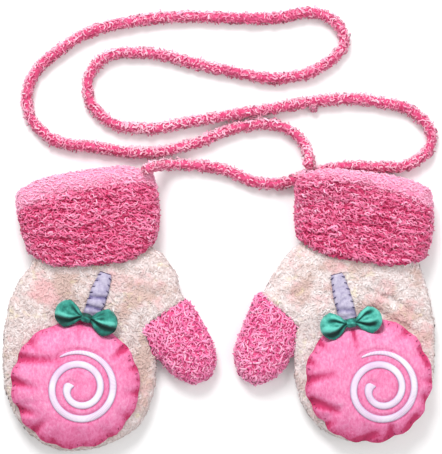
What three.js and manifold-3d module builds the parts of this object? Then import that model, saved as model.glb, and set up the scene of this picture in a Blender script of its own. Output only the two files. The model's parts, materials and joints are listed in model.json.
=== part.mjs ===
// A pair of small child's mittens in thick curly knit, laid flat side by side and joined by one long cord.
// Millimetres, +Z up, +Y from the finger tips towards the cuffs. The origin is on the surface that the
// pair lies on, below its middle.

import * as THREE from 'three';
import { mergeVertices } from 'three/addons/utils/BufferGeometryUtils.js';
import Module from 'manifold-3d';

const wasm = await Module();
wasm.setup();

// The cloth
const seamGap = 0.3;
const knitWall = 2.9;
const feltThickness = 1.2;
const ribbonThickness = 0.8;
const stitchHeight = 0.8;
const cordRadius = 3;

// How round a flattened tube is: points across its width, the power of its curve, the height of its widest
// line, and how much of its underside is pressed flat
const pointsAcross = 12;
const tubePower = 2.6;
const waistShare = 0.45;
const pressedFlat = 1.25;
const closeRings = 3;

// The doubled cuff: an outer and an inner layer with a slit between them, folded over at the rim
const cuffLayer = 3;
const cuffSlit = 0.4;
const cuffDepth = 2 * cuffLayer + cuffSlit;
const innerLayerEnd = 0.5;
const wristStart = 0.52;
const wristInset = cuffLayer + seamGap;

// The cuff's closed wall section. along runs from the rim, 0, to the free edge, 1; depth is measured
// inwards from the outer face.
const cuffSection = [
  { along: 1, depth: 0.9 },
  { along: 0.98, depth: 0.15 },
  { along: 0.85, depth: 0 },
  { along: 0.7, depth: 0 },
  { along: wristStart, depth: 0 },
  { along: 0.36, depth: 0 },
  { along: 0.22, depth: 0 },
  { along: 0.11, depth: 0.2 },
  { along: 0.035, depth: 1.1 },
  { along: 0, depth: cuffDepth / 2 },
  { along: 0.035, depth: cuffDepth - 1.1 },
  { along: 0.11, depth: cuffDepth - 0.2 },
  { along: 0.3, depth: cuffDepth },
  { along: innerLayerEnd, depth: cuffDepth },
  { along: innerLayerEnd, depth: cuffLayer + cuffSlit },
  { along: 0.3, depth: cuffLayer + cuffSlit },
  { along: 0.13, depth: cuffLayer + cuffSlit },
  { along: 0.13, depth: cuffLayer },
  { along: wristStart, depth: cuffLayer },
  { along: 0.7, depth: cuffLayer },
  { along: 0.85, depth: cuffLayer },
  { along: 1, depth: cuffLayer - 0.7 },
];

// Each mitten's own sizes. The rows of cuff, hand and thumb are sections across the piece: its two sides in
// plan, its lowest and highest point, and how far the section bows along the piece in the middle.
const mittens = {
  left: {
    cuff: [
      { leftX: -101.8, leftY: 58.4, rightX: -32.8, rightY: 69, bow: 5.2, low: 0, high: 18 },
      { leftX: -100.8, leftY: 48.8, rightX: -30.8, rightY: 55.8, bow: 0.4, low: 0, high: 19.5 },
      { leftX: -98, leftY: 38.8, rightX: -30.2, rightY: 43.2, bow: -4.4, low: 0, high: 19.5 },
      { leftX: -95, leftY: 28.2, rightX: -32.5, rightY: 32.8, bow: -9, low: 0, high: 19 },
    ],
    hand: [
      { leftX: -93.3, leftY: 22.8, rightX: -28.5, rightY: 28.2, bow: -9.6, low: 1.8, high: 15.6 },
      { leftX: -100.5, leftY: 13.8, rightX: -20.8, rightY: 17.8, bow: -7.5, low: 0, high: 15 },
      { leftX: -105.5, leftY: 2.8, rightX: -18.5, rightY: 5.8, bow: -4, low: 0, high: 14.5 },
      { leftX: -108.2, leftY: -12.2, rightX: -23.5, rightY: -8.2, bow: -1.5, low: 0, high: 14 },
      { leftX: -108.5, leftY: -26.8, rightX: -31.4, rightY: -23.8, bow: 0, low: 0, high: 14 },
      { leftX: -107.5, leftY: -39.8, rightX: -31.4, rightY: -37.8, bow: 0, low: 0, high: 14 },
      { leftX: -103.5, leftY: -51, rightX: -34.5, rightY: -49.2, bow: 0, low: 0, high: 14 },
      { leftX: -96.5, leftY: -61, rightX: -40.8, rightY: -59.8, bow: 0, low: 0, high: 13.2 },
      { leftX: -88, leftY: -67.8, rightX: -52, rightY: -66.2, bow: -0.5, low: 0, high: 11.6 },
      { leftX: -80.5, leftY: -70.6, rightX: -62, rightY: -69.8, bow: -0.6, low: 0, high: 9.6 },
    ],
    thumb: [
      { leftX: -47, leftY: -6.8, rightX: -29.5, rightY: 11.8, bow: 0, low: 0, high: 12.5 },
      { leftX: -36.5, leftY: -16.2, rightX: -17.5, rightY: 5.8, bow: 0, low: 0, high: 12.8 },
      { leftX: -31.5, leftY: -21.8, rightX: -10, rightY: -5.2, bow: 0, low: 0, high: 12.6 },
      { leftX: -27.5, leftY: -27.8, rightX: -4.5, rightY: -16.2, bow: 0, low: 0, high: 12.2 },
      { leftX: -22, leftY: -33.2, rightX: -2, rightY: -25.2, bow: 0.4, low: 0, high: 11.4 },
      { leftX: -15.5, leftY: -36.6, rightX: -3.8, rightY: -31.7, bow: 0.4, low: 0, high: 9.8 },
      { leftX: -12.2, leftY: -37.6, rightX: -5.8, rightY: -34.8, bow: 0.2, low: 0, high: 7.8 },
    ],
    seamCorner: { x: -37.5, y: -10.2 },
    seamUpward: 34,
    seamDownward: -66,
    pad: { x: -71.7, y: -37.8, radius: 33.1, tilt: 2 },
    gathers: [
      { at: 22, depth: 0.7, halfAngle: 9 },
      { at: 48, depth: 1, halfAngle: 10 },
      { at: 112, depth: 1.3, halfAngle: 11 },
      { at: 137, depth: 0.8, halfAngle: 9 },
      { at: 158, depth: 1.5, halfAngle: 10 },
      { at: 181, depth: 1.2, halfAngle: 9 },
      { at: 204, depth: 2, halfAngle: 11 },
      { at: 228, depth: 1.6, halfAngle: 10 },
      { at: 252, depth: 1, halfAngle: 9 },
      { at: 276, depth: 1.5, halfAngle: 10 },
      { at: 300, depth: 1.1, halfAngle: 9 },
      { at: 326, depth: 0.9, halfAngle: 10 },
      { at: 350, depth: 0.6, halfAngle: 9 },
    ],
    swirl: { x: -69, y: -39.2 },
    stick: { topX: -56, topY: 18.2, endX: -63.4, endY: -3.6, topWidth: 6.6, endWidth: 7.8 },
    bow: { x: -65.8, y: -4.3, turn: -14, size: 0.98 },
  },
  right: {
    cuff: [
      { leftX: 38.6, leftY: 67.8, rightX: 106.2, rightY: 60, bow: 4.4, low: 0, high: 18 },
      { leftX: 38.2, leftY: 57.2, rightX: 106.8, rightY: 47.8, bow: 0.4, low: 0, high: 19.5 },
      { leftX: 38.2, leftY: 46.2, rightX: 106, rightY: 36.2, bow: -3.4, low: 0, high: 19.5 },
      { leftX: 39.2, leftY: 35.2, rightX: 102.8, rightY: 25.2, bow: -6.6, low: 0, high: 19 },
    ],
    hand: [
      { leftX: 35.5, leftY: 29, rightX: 101, rightY: 20.2, bow: -7.4, low: 1.8, high: 15.6 },
      { leftX: 28.5, leftY: 20.2, rightX: 103.4, rightY: 13.8, bow: -6, low: 0, high: 15 },
      { leftX: 21.8, leftY: 8.2, rightX: 106, rightY: 4.2, bow: -3.6, low: 0, high: 14.5 },
      { leftX: 25.5, leftY: -6.8, rightX: 108, rightY: -8.8, bow: -1.5, low: 0, high: 14 },
      { leftX: 37.2, leftY: -21.8, rightX: 108.5, rightY: -21.8, bow: 0, low: 0, high: 14 },
      { leftX: 37.8, leftY: -35.8, rightX: 107, rightY: -35.8, bow: 0, low: 0, high: 14 },
      { leftX: 40.8, leftY: -46.8, rightX: 103.4, rightY: -47.4, bow: 0, low: 0, high: 14 },
      { leftX: 46.5, leftY: -55.8, rightX: 96.5, rightY: -56.8, bow: 0, low: 0, high: 13.2 },
      { leftX: 54.5, leftY: -62.4, rightX: 87.5, rightY: -62.8, bow: -0.5, low: 0, high: 11.6 },
      { leftX: 62.5, leftY: -65.4, rightX: 78.5, rightY: -65.4, bow: -0.6, low: 0, high: 9.6 },
    ],
    thumb: [
      { leftX: 33, leftY: 12.8, rightX: 46.5, rightY: -6.8, bow: 0, low: 0, high: 12.5 },
      { leftX: 19, leftY: 7.2, rightX: 41, rightY: -14.8, bow: 0, low: 0, high: 12.8 },
      { leftX: 14.8, leftY: -3.8, rightX: 37, rightY: -20.2, bow: 0, low: 0, high: 12.6 },
      { leftX: 10.5, leftY: -14.2, rightX: 33.5, rightY: -27.8, bow: 0, low: 0, high: 12.2 },
      { leftX: 8.2, leftY: -23.2, rightX: 28, rightY: -33.8, bow: 0.4, low: 0, high: 11.4 },
      { leftX: 10, leftY: -31, rightX: 21, rightY: -37, bow: 0.4, low: 0, high: 9.8 },
      { leftX: 11.9, leftY: -34.2, rightX: 17.7, rightY: -37.4, bow: 0.2, low: 0, high: 7.8 },
    ],
    seamCorner: { x: 38.4, y: -8.8 },
    seamUpward: 138,
    seamDownward: 262,
    pad: { x: 74.5, y: -35.5, radius: 32.7, tilt: 2 },
    gathers: [
      { at: 28, depth: 1.4, halfAngle: 10 },
      { at: 52, depth: 0.7, halfAngle: 9 },
      { at: 75, depth: 1, halfAngle: 9 },
      { at: 124, depth: 1.1, halfAngle: 10 },
      { at: 150, depth: 0.7, halfAngle: 9 },
      { at: 178, depth: 1.3, halfAngle: 10 },
      { at: 203, depth: 1.2, halfAngle: 10 },
      { at: 222, depth: 2, halfAngle: 9 },
      { at: 246, depth: 1, halfAngle: 9 },
      { at: 268, depth: 1.8, halfAngle: 9 },
      { at: 294, depth: 1.5, halfAngle: 10 },
      { at: 318, depth: 1, halfAngle: 9 },
      { at: 341, depth: 1.7, halfAngle: 10 },
      { at: 3, depth: 0.8, halfAngle: 9 },
    ],
    swirl: { x: 80.3, y: -39.4 },
    stick: { topX: 58.5, topY: 17.6, endX: 64.2, endY: -5, topWidth: 6.2, endWidth: 8 },
    bow: { x: 65.5, y: -6.8, turn: 10, size: 0.96 },
  },
};

// The puffed patch: heights of its rim and its crown, the power of its curve, and how far down its filled
// body reaches before the hand is cut from it. Its gathers groove it from gatherStart of the way out.
const padRim = 12.8;
const padCrown = 8.6;
const padPower = 2.6;
const padFloor = 7;
const padFloorShare = 0.8;
const padPoints = 50;
const padRings = [0.22, 0.42, 0.6, 0.75, 0.87, 0.95, 0.99];
const padEdgeTurns = [{ share: 0.975, drop: 1.6 }, { share: 0.9, drop: 4 }];
const gatherStart = 0.45;
const gatherFade = 0.5;
const gatherGroove = 0.9;

// The spiral on the patch: turns, first and last radius, how the radius grows and where it starts
const swirlTurns = 1.88;
const swirlInner = 4;
const swirlOuter = 17.9;
const swirlGrowth = 0.72;
const swirlStart = 165;
const swirlWidth = 3.7;
const swirlSteps = 46;

// Its section, and how much of its width is left at each end over what share of its length
const swirlSection = [[-1, 0], [-1, 0.6], [0, 1], [1, 0.6], [1, 0]];
const swirlFirst = { width: 0.45, over: 0.02 };
const swirlLast = { width: 0.15, over: 0.07 };

// Cutting shapes reach past all that they cut: outwards in plan, and above the whole mitten. The felt strip
// is cut from the hand's upper side alone, above stickFloor.
const wedgeReach = 90;
const clearAbove = 30;
const stickFloor = 8;

// The felt strip's wrinkles: how many lengths they part it into, and how far they draw its sides in
const stickWrinkles = 3;
const stickWaist = 0.4;
const stickSteps = 12;

// Half of the bow, from its pinched middle to the fold at the loop's end
const bowHalf = [
  { out: 0, rise: 0.65, halfWidth: 1.2, crease: 0.1 },
  { out: 3, rise: 0.65, halfWidth: 1.25, crease: 0.1 },
  { out: 5, rise: 1.8, halfWidth: 3.3, crease: 0.4 },
  { out: 8, rise: 2.6, halfWidth: 5.1, crease: 0.45 },
  { out: 11.3, rise: 2.7, halfWidth: 6.3, crease: 0.35 },
  { out: 14, rise: 2, halfWidth: 6.8, crease: 0.15 },
  { out: 15.3, rise: 1, halfWidth: 6.7, crease: 0 },
];
const bowEnd = 15.6;
const bowHeight = 18.9;
const bowPointsAcross = 5;
const bowCreases = 2.5;
const bowClearance = 0.3;
const knotHalfLength = 2.7;
const knotInside = { width: 2.1, height: 1.9 };
const knotWall = 0.75;
const knotPoints = 14;

// The knot's closed wall section: places along its half length, and how much of the wall they stand out
const knotSection = [
  { out: -1, stand: 0 }, { out: -1, stand: 0.5 }, { out: -0.72, stand: 1 }, { out: 0, stand: 1.15 },
  { out: 0.72, stand: 1 }, { out: 1, stand: 0.5 }, { out: 1, stand: 0 }, { out: 0, stand: 0 },
];

// The cord's route, from the left cuff's corner to the right cuff's rim
const cordHeight = 3.05;
const cordRoute = [
  [-37.2, 69, 17.6], [-33.4, 70.6, 14.2], [-29.4, 71.8, 8], [-24.6, 72.3, 4.2], [-17, 72.2, cordHeight],
  [1.5, 69.8, cordHeight], [18.5, 63.4, cordHeight], [31.5, 62.8, cordHeight], [48, 68, cordHeight],
  [63.5, 71.2, cordHeight], [81, 70.8, cordHeight], [98, 73.4, cordHeight], [106.6, 84.8, cordHeight],
  [99.4, 97, cordHeight], [78.5, 103.8, cordHeight], [58.5, 104.8, cordHeight], [23.5, 99.8, cordHeight],
  [-12.5, 94, cordHeight], [-39, 90.2, cordHeight], [-58, 95.8, cordHeight], [-66, 110.6, cordHeight],
  [-58.6, 125, cordHeight], [-42.5, 128.4, cordHeight], [1.5, 119.8, cordHeight], [33.5, 115.8, cordHeight],
  [55, 123.8, cordHeight], [62.6, 134, cordHeight], [54, 146.4, cordHeight], [25, 145.4, cordHeight],
  [-40.5, 144.4, cordHeight], [-76, 132.4, cordHeight], [-96.4, 107, cordHeight], [-87.6, 87.6, cordHeight],
  [-61, 80.8, cordHeight], [-35, 78.3, cordHeight], [-14, 82.2, cordHeight], [12, 91.4, cordHeight],
  [33, 90.6, cordHeight], [43.4, 81.4, 4.4], [45, 71, 11.8],
];
const cordSteps = 80;
const cordSides = 8;

// The right cuff's corner rides over the cord: how far it is lifted, and how wide the lift is each side
const liftHeight = 6.6;
const liftFlat = 4.6;
const liftFade = 12;
const liftAtTop = 0.5;

const finishes = {
  hand: { color: 0xddc8c2, roughness: 0.95 },
  thumb: { color: 0xe57aa2, roughness: 0.95 },
  cuff: { color: 0xd56587, roughness: 0.95 },
  pad: { color: 0xf592c0, roughness: 0.85 },
  swirl: { color: 0xf3e4ee, roughness: 0.5 },
  stick: { color: 0xbeb6d4, roughness: 0.9 },
  bow: { color: 0x5bb5aa, roughness: 0.8 },
  knot: { color: 0x56aca2, roughness: 0.8 },
  cord: { color: 0xe7a1b9, roughness: 0.95 },
};

const radians = THREE.MathUtils.degToRad;

// An even rise from 0 to 1 that starts and ends level
const smooth = (share) => THREE.MathUtils.smoothstep(share, 0, 1);

// The row at a place between a table's rows, on a smooth curve through them
function rowAt(rows, place) {
  const last = rows.length - 1;
  const index = Math.min(last - 1, Math.floor(place));
  const t = place - index;
  const before = rows[Math.max(0, index - 1)];
  const from = rows[index];
  const to = rows[index + 1];
  const after = rows[Math.min(last, index + 2)];
  const row = {};
  for (const name of Object.keys(from)) {
    const leave = (to[name] - before[name]) / 2;
    const arrive = (after[name] - from[name]) / 2;
    const bend = 2 * (from[name] - to[name]) + leave + arrive;
    const swing = 3 * (to[name] - from[name]) - 2 * leave - arrive;
    row[name] = ((bend * t + swing) * t + leave) * t + from[name];
  }
  return row;
}

// The same section with its whole outline moved inwards, or outwards by a negative inset
function narrowed(row, inset) {
  const across = new THREE.Vector2(row.rightX - row.leftX, row.rightY - row.leftY).setLength(inset);
  return {
    ...row,
    leftX: row.leftX + across.x,
    leftY: row.leftY + across.y,
    rightX: row.rightX - across.x,
    rightY: row.rightY - across.y,
    low: row.low + inset,
    high: row.high - inset,
  };
}

// The points round one section of a flattened tube
function ringOf(row) {
  const middle = new THREE.Vector2(row.leftX + row.rightX, row.leftY + row.rightY).multiplyScalar(0.5);
  const half = new THREE.Vector2(row.rightX - row.leftX, row.rightY - row.leftY).multiplyScalar(0.5);
  const ahead = new THREE.Vector2(-half.y, half.x).normalize();
  const waist = row.low + (row.high - row.low) * waistShare;
  const ring = [];
  for (let k = 0; k < 2 * pointsAcross; k += 1) {
    const onTop = k < pointsAcross;
    const share = (k % pointsAcross) / pointsAcross;
    const u = Math.sin((onTop ? share - 0.5 : 0.5 - share) * Math.PI);
    const rise = Math.max(0, 1 - Math.abs(u) ** tubePower) ** (1 / tubePower);
    const under = Math.max(row.low, waist - (waist - row.low) * pressedFlat * rise);
    const z = onTop ? waist + (row.high - waist) * rise : under;
    const bow = row.bow * (1 - u ** 4);
    ring.push(new THREE.Vector3(
      middle.x + half.x * u + ahead.x * bow,
      middle.y + half.y * u + ahead.y * bow,
      z,
    ));
  }
  return ring;
}

// A solid from points and triangles, with its faces turned outwards
function solidOf(points, faces) {
  let volume = 0;
  const crossed = new THREE.Vector3();
  for (let k = 0; k < faces.length; k += 3) {
    crossed.crossVectors(points[faces[k]], points[faces[k + 1]]);
    volume += crossed.dot(points[faces[k + 2]]);
  }
  const triVerts = Uint32Array.from(volume < 0 ? faces.toReversed() : faces);
  const vertProperties = Float32Array.from(points.flatMap((point) => [point.x, point.y, point.z]));
  return new wasm.Manifold(new wasm.Mesh({ numProp: 3, vertProperties, triVerts }));
}

// Rings joined one to the next, and either closed at both ends by a fan or joined into a loop
function skinOf(rings, looped) {
  const count = rings[0].length;
  const points = rings.flat();
  const faces = [];
  for (let r = 0; r < (looped ? rings.length : rings.length - 1); r += 1) {
    const next = (r + 1) % rings.length;
    for (let k = 0; k < count; k += 1) {
      const beside = (k + 1) % count;
      faces.push(r * count + k, r * count + beside, next * count + k);
      faces.push(r * count + beside, next * count + beside, next * count + k);
    }
  }
  if (!looped) {
    for (const [r, flip] of [[0, true], [rings.length - 1, false]]) {
      const middle = rings[r].reduce((sum, point) => sum.add(point), new THREE.Vector3());
      points.push(middle.divideScalar(count));
      for (let k = 0; k < count; k += 1) {
        const here = r * count + k;
        const beside = r * count + (k + 1) % count;
        faces.push(flip ? beside : here, flip ? here : beside, points.length - 1);
      }
    }
  }
  return solidOf(points, faces);
}

// A solid from one of three.js's own closed geometries
function solidFrom(geometry) {
  geometry.deleteAttribute('normal');
  geometry.deleteAttribute('uv');
  const merged = mergeVertices(geometry, 1e-4);
  const places = merged.getAttribute('position');
  const points = [];
  for (let k = 0; k < places.count; k += 1) {
    points.push(new THREE.Vector3().fromBufferAttribute(places, k));
  }
  return solidOf(points, Array.from(merged.index.array));
}

// An upright prism on an outline given as plan points
function prismOf(outline, low, high) {
  const shape = new THREE.Shape(outline);
  const geometry = new THREE.ExtrudeGeometry(shape, { depth: high - low, bevelEnabled: false });
  return solidFrom(geometry.translate(0, 0, low));
}

// The hand's sections: inside the cuff they follow it, then the hand's own table takes over
function handRows(mitten) {
  const inCuff = [wristStart, 0.7, 0.85, 1].map((along) => narrowed(cuffRow(mitten, along), wristInset));
  return [...inCuff, ...mitten.hand];
}

function cuffRow(mitten, along) {
  return rowAt(mitten.cuff, along * (mitten.cuff.length - 1));
}

// A tube with closed ends over a table of sections, with closer rings round its tip. inset narrows it all
// round, and where it is shortened it draws the tip back by as much.
function tubeOf(rows, inset, shortened) {
  const tip = rows.length - 1;
  const rings = [];
  for (let place = 0; place <= tip; place += place < tip - closeRings ? 1 : 0.5) {
    const row = narrowed(rowAt(rows, place), inset);
    const before = rowAt(rows, Math.max(0, place - 0.5));
    const pull = inset * smooth((place - tip + 2.5) / 2) * (shortened ? 1 : 0);
    const back = new THREE.Vector2(
      before.leftX + before.rightX - row.leftX - row.rightX,
      before.leftY + before.rightY - row.leftY - row.rightY,
    ).setLength(Math.abs(pull)).multiplyScalar(Math.sign(pull));
    row.leftX += back.x;
    row.leftY += back.y;
    row.rightX += back.x;
    row.rightY += back.y;
    rings.push(ringOf(row));
  }
  return skinOf(rings, false);
}

// The hand's hollow runs out past the wrist's end, so that it opens there
function handHollow(mitten) {
  const opened = narrowed(cuffRow(mitten, wristStart - 0.15), wristInset);
  return tubeOf([opened, ...handRows(mitten)], knitWall, true);
}

// The thumb's corner of the plan, between the two seam lines, moved outwards by half of the seam's gap
function seamWedge(mitten, outwards) {
  const up = radians(mitten.seamUpward);
  const down = radians(mitten.seamDownward);
  const between = (up + down) / 2;
  const shift = outwards / Math.sin(Math.abs(up - down) / 2);
  const corner = new THREE.Vector2(mitten.seamCorner.x, mitten.seamCorner.y);
  corner.x += Math.cos(between) * shift;
  corner.y += Math.sin(between) * shift;
  const toward = (angle) => new THREE.Vector2(
    corner.x + Math.cos(angle) * wedgeReach,
    corner.y + Math.sin(angle) * wedgeReach,
  );
  return prismOf([corner, toward(down), toward(between), toward(up)], -clearAbove, clearAbove);
}

// The hand and the thumb, hollow together and parted at the thumb's seam
function handAndThumb(mitten) {
  const outside = tubeOf(handRows(mitten), 0, false).add(tubeOf(mitten.thumb, 0, false));
  const hollow = handHollow(mitten).add(tubeOf(mitten.thumb, knitWall, true));
  const shell = outside.subtract(hollow);
  return {
    hand: shell.subtract(seamWedge(mitten, -seamGap / 2)),
    thumb: shell.intersect(seamWedge(mitten, seamGap / 2)),
  };
}

// How high the surface that carries the cuff is: the cord lifts the right cuff's corner
function liftAt(point, line) {
  const nearest = line.closestPointToPoint(new THREE.Vector3(point.x, point.y, 0), true, new THREE.Vector3());
  const away = Math.hypot(point.x - nearest.x, point.y - nearest.y);
  return liftHeight * (1 - smooth((away - liftFlat) / liftFade));
}

function cuffOf(mitten, cordBelow) {
  const rings = cuffSection.map(({ along, depth }) => {
    const row = cuffRow(mitten, along);
    const ring = ringOf(narrowed(row, depth));
    if (cordBelow) {
      for (const point of ring) {
        point.z += liftAt(point, cordBelow) * (1 - (1 - liftAtTop) * point.z / row.high);
      }
    }
    return ring;
  });
  return skinOf(rings, true);
}

// How deep the gathers draw the patch's edge in at an angle
function gatherAt(gathers, angle) {
  let drawn = 0;
  for (const gather of gathers) {
    const away = Math.abs(((angle - gather.at + 540) % 360) - 180);
    drawn += gather.depth * (1 - smooth(away / gather.halfAngle));
  }
  return drawn;
}

// A point on the patch's upper side, share of the way out from its middle
function padPoint(mitten, angle, share) {
  const { x, y, radius, tilt } = mitten.pad;
  const drawn = gatherAt(mitten.gathers, angle);
  const reach = (radius - drawn * smooth(share * 2 - 1)) * share;
  const edge = Math.sin(radians(angle)) * tilt * share ** 2;
  const crown = padCrown * Math.sqrt(Math.max(0, 1 - share ** padPower));
  const groove = gatherGroove * drawn * smooth((share - gatherStart) / gatherFade) * (crown / padCrown);
  return new THREE.Vector3(
    x + reach * Math.cos(radians(angle)),
    y + reach * Math.sin(radians(angle)),
    padRim + edge + crown - groove,
  );
}

// The patch's filled body, before the hand and the bow are cut from it
function padBody(mitten) {
  const { x, y } = mitten.pad;
  const angles = Array.from({ length: padPoints }, (_, k) => 360 * k / padPoints);
  const rings = padRings.map((share) => angles.map((angle) => padPoint(mitten, angle, share)));
  for (const { share, drop } of padEdgeTurns) {
    rings.push(angles.map((angle) => {
      const edge = padPoint(mitten, angle, 1);
      return new THREE.Vector3(x + (edge.x - x) * share, y + (edge.y - y) * share, edge.z - drop);
    }));
  }
  rings.push(angles.map((angle) => {
    const edge = padPoint(mitten, angle, padFloorShare);
    return new THREE.Vector3(edge.x, edge.y, padFloor);
  }));
  return skinOf(rings, false);
}

// The height of the patch's upper side above a place in plan
function padTop(mitten, placeX, placeY) {
  const angle = THREE.MathUtils.radToDeg(Math.atan2(placeY - mitten.pad.y, placeX - mitten.pad.x));
  const away = Math.hypot(placeX - mitten.pad.x, placeY - mitten.pad.y);
  return padPoint(mitten, (angle + 360) % 360, away / mitten.pad.radius).z;
}

// The stitched spiral: a narrow raised band that lies on the patch and tapers to a point
function swirlOf(mitten) {
  const rings = [];
  for (let step = 0; step <= swirlSteps; step += 1) {
    const share = step / swirlSteps;
    const angle = radians(swirlStart + 360 * swirlTurns * share);
    const radius = swirlInner + (swirlOuter - swirlInner) * share ** swirlGrowth;
    const starting = swirlFirst.width + (1 - swirlFirst.width) * smooth(share / swirlFirst.over);
    const ending = swirlLast.width + (1 - swirlLast.width) * smooth((1 - share) / swirlLast.over);
    const half = swirlWidth / 2 * starting * ending;
    const ring = swirlSection.map(([aside, up]) => {
      const x = mitten.swirl.x + (radius + aside * half) * Math.cos(angle);
      const y = mitten.swirl.y + (radius + aside * half) * Math.sin(angle);
      return new THREE.Vector3(x, y, padTop(mitten, x, y) + seamGap + up * stitchHeight);
    });
    rings.push(ring);
  }
  return skinOf(rings, false);
}

// The felt strip's outline in plan, slightly waisted at its wrinkles, and grown all round for its room
function stickOutline(mitten, grow) {
  const { topX, topY, endX, endY, topWidth, endWidth } = mitten.stick;
  const along = new THREE.Vector2(endX - topX, endY - topY);
  const aside = new THREE.Vector2(-along.y, along.x).normalize();
  const longer = grow / along.length();
  const outline = [];
  for (const side of [-1, 1]) {
    for (let k = 0; k <= stickSteps; k += 1) {
      const share = side < 0 ? k / stickSteps : 1 - k / stickSteps;
      const waist = stickWaist * (1 - Math.abs(Math.sin(share * stickWrinkles * Math.PI)));
      const half = (topWidth + (endWidth - topWidth) * share) / 2 - waist + grow;
      const reach = share + longer * (2 * share - 1);
      outline.push(new THREE.Vector2(
        topX + along.x * reach + aside.x * half * side,
        topY + along.y * reach + aside.y * half * side,
      ));
    }
  }
  return outline;
}

// The felt strip: a piece of the hand's own surface, moved out by the seam gap and by its thickness
function stickOf(mitten) {
  const over = tubeOf(handRows(mitten), -seamGap - feltThickness, true);
  const under = tubeOf(handRows(mitten), -seamGap, true);
  return over.subtract(under).intersect(prismOf(stickOutline(mitten, 0), stickFloor, clearAbove));
}

// One station of the bow's strip: its two faces, each from edge to edge, with fine creases across
function bowStation(row, out, layer) {
  const inner = [];
  const outer = [];
  for (let k = 0; k < bowPointsAcross; k += 1) {
    const v = 2 * k / (bowPointsAcross - 1) - 1;
    const crease = row.crease * Math.cos(bowCreases * Math.PI * v);
    const middle = row.rise * layer + crease;
    inner.push(new THREE.Vector3(out, v * row.halfWidth, middle - layer * ribbonThickness / 2));
    outer.push(new THREE.Vector3(out, v * row.halfWidth, middle + layer * ribbonThickness / 2));
  }
  return [...inner, ...outer.reverse()];
}

// The fold at a loop's end, where the strip stands upright and turns back
function bowFold(side) {
  const row = bowHalf[bowHalf.length - 1];
  const inner = [];
  const outer = [];
  for (let k = 0; k < bowPointsAcross; k += 1) {
    const v = 2 * k / (bowPointsAcross - 1) - 1;
    inner.push(new THREE.Vector3(side * (bowEnd - ribbonThickness / 2), v * row.halfWidth, 0));
    outer.push(new THREE.Vector3(side * (bowEnd + ribbonThickness / 2), v * row.halfWidth, 0));
  }
  return [...inner, ...outer.reverse()];
}

function bowPlace(mitten) {
  return new THREE.Matrix4().makeTranslation(mitten.bow.x, mitten.bow.y, bowHeight)
    .multiply(new THREE.Matrix4().makeRotationZ(radians(mitten.bow.turn)))
    .multiply(new THREE.Matrix4().makeScale(mitten.bow.size, mitten.bow.size, 1));
}

// The bow's strip: over the top from the left loop to the right, round the fold and back underneath
function bowOf(mitten) {
  const rings = [];
  const half = bowHalf.slice(1);
  for (const layer of [1, -1]) {
    const leftFirst = [...half.toReversed().map((row) => [row, -row.out]), [bowHalf[0], 0],
      ...half.map((row) => [row, row.out])];
    const stations = layer > 0 ? leftFirst : leftFirst.toReversed();
    rings.push(bowFold(-layer));
    for (const [row, out] of stations) {
      rings.push(bowStation(row, out, layer));
    }
  }
  const place = bowPlace(mitten);
  rings.flat().forEach((point) => point.applyMatrix4(place));
  return skinOf(rings, true);
}

// The room that the bow takes, filled and a seam's gap larger all round
function bowRoom(mitten) {
  const grow = seamGap + ribbonThickness / 2 + bowClearance;
  const rings = [];
  const fold = { ...bowHalf[bowHalf.length - 1], out: bowEnd + grow, rise: ribbonThickness / 2 };
  const rows = [...bowHalf, fold];
  const stations = [...rows.slice(1).toReversed().map((row) => [row, -row.out]),
    ...rows.map((row) => [row, row.out])];
  for (const [row, out] of stations) {
    const wide = Math.max(row.halfWidth, knotInside.width + knotWall) + grow;
    const tall = Math.max(row.rise, knotInside.height + knotWall - ribbonThickness / 2) + grow;
    rings.push([[-1, -1], [1, -1], [1, 1], [-1, 1]].map(
      ([aside, up]) => new THREE.Vector3(out, aside * wide, up > 0 ? clearAbove : -tall),
    ));
  }
  const place = bowPlace(mitten);
  rings.flat().forEach((point) => point.applyMatrix4(place));
  return skinOf(rings, false);
}

// The knot: a short tube round the bow's pinched middle
function knotOf(mitten) {
  const rings = knotSection.map(({ out, stand }) => Array.from({ length: knotPoints }, (_, k) => {
    const angle = 2 * Math.PI * k / knotPoints;
    return new THREE.Vector3(
      out * knotHalfLength,
      Math.cos(angle) * (knotInside.width + knotWall * stand),
      Math.sin(angle) * (knotInside.height + knotWall * stand),
    );
  }));
  const place = bowPlace(mitten);
  rings.flat().forEach((point) => point.applyMatrix4(place));
  return skinOf(rings, true);
}

// The patch, with its underside following the hand and its edge pressed down by the strip and the bow
function padOf(mitten) {
  const hand = tubeOf(handRows(mitten), -seamGap, true);
  const strip = prismOf(stickOutline(mitten, seamGap), stickFloor, clearAbove);
  return padBody(mitten).subtract(hand).subtract(strip).subtract(bowRoom(mitten));
}

function cordOf() {
  const route = cordRoute.map(([x, y, z]) => new THREE.Vector3(x, y, z));
  const path = new THREE.CatmullRomCurve3(route, false, 'centripetal');
  const outline = [];
  for (let k = 0; k < cordSides; k += 1) {
    const angle = 2 * Math.PI * k / cordSides;
    outline.push(new THREE.Vector2(Math.cos(angle) * cordRadius, Math.sin(angle) * cordRadius));
  }
  const section = new THREE.Shape(outline);
  return solidFrom(new THREE.ExtrudeGeometry(section, {
    steps: cordSteps, bevelEnabled: false, extrudePath: path,
  }));
}

function meshOf(name, solid, finish) {
  const { vertProperties, triVerts } = solid.getMesh();
  const geometry = new THREE.BufferGeometry();
  geometry.setAttribute('position', new THREE.BufferAttribute(vertProperties, 3));
  geometry.setIndex(new THREE.BufferAttribute(triVerts, 1));
  geometry.computeVertexNormals();
  const mesh = new THREE.Mesh(geometry, new THREE.MeshStandardMaterial({ ...finish, metalness: 0 }));
  mesh.name = name;
  return mesh;
}

const underCuff = new THREE.Line3(new THREE.Vector3(33, 62.9, 0), new THREE.Vector3(66, 71.7, 0));

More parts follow.
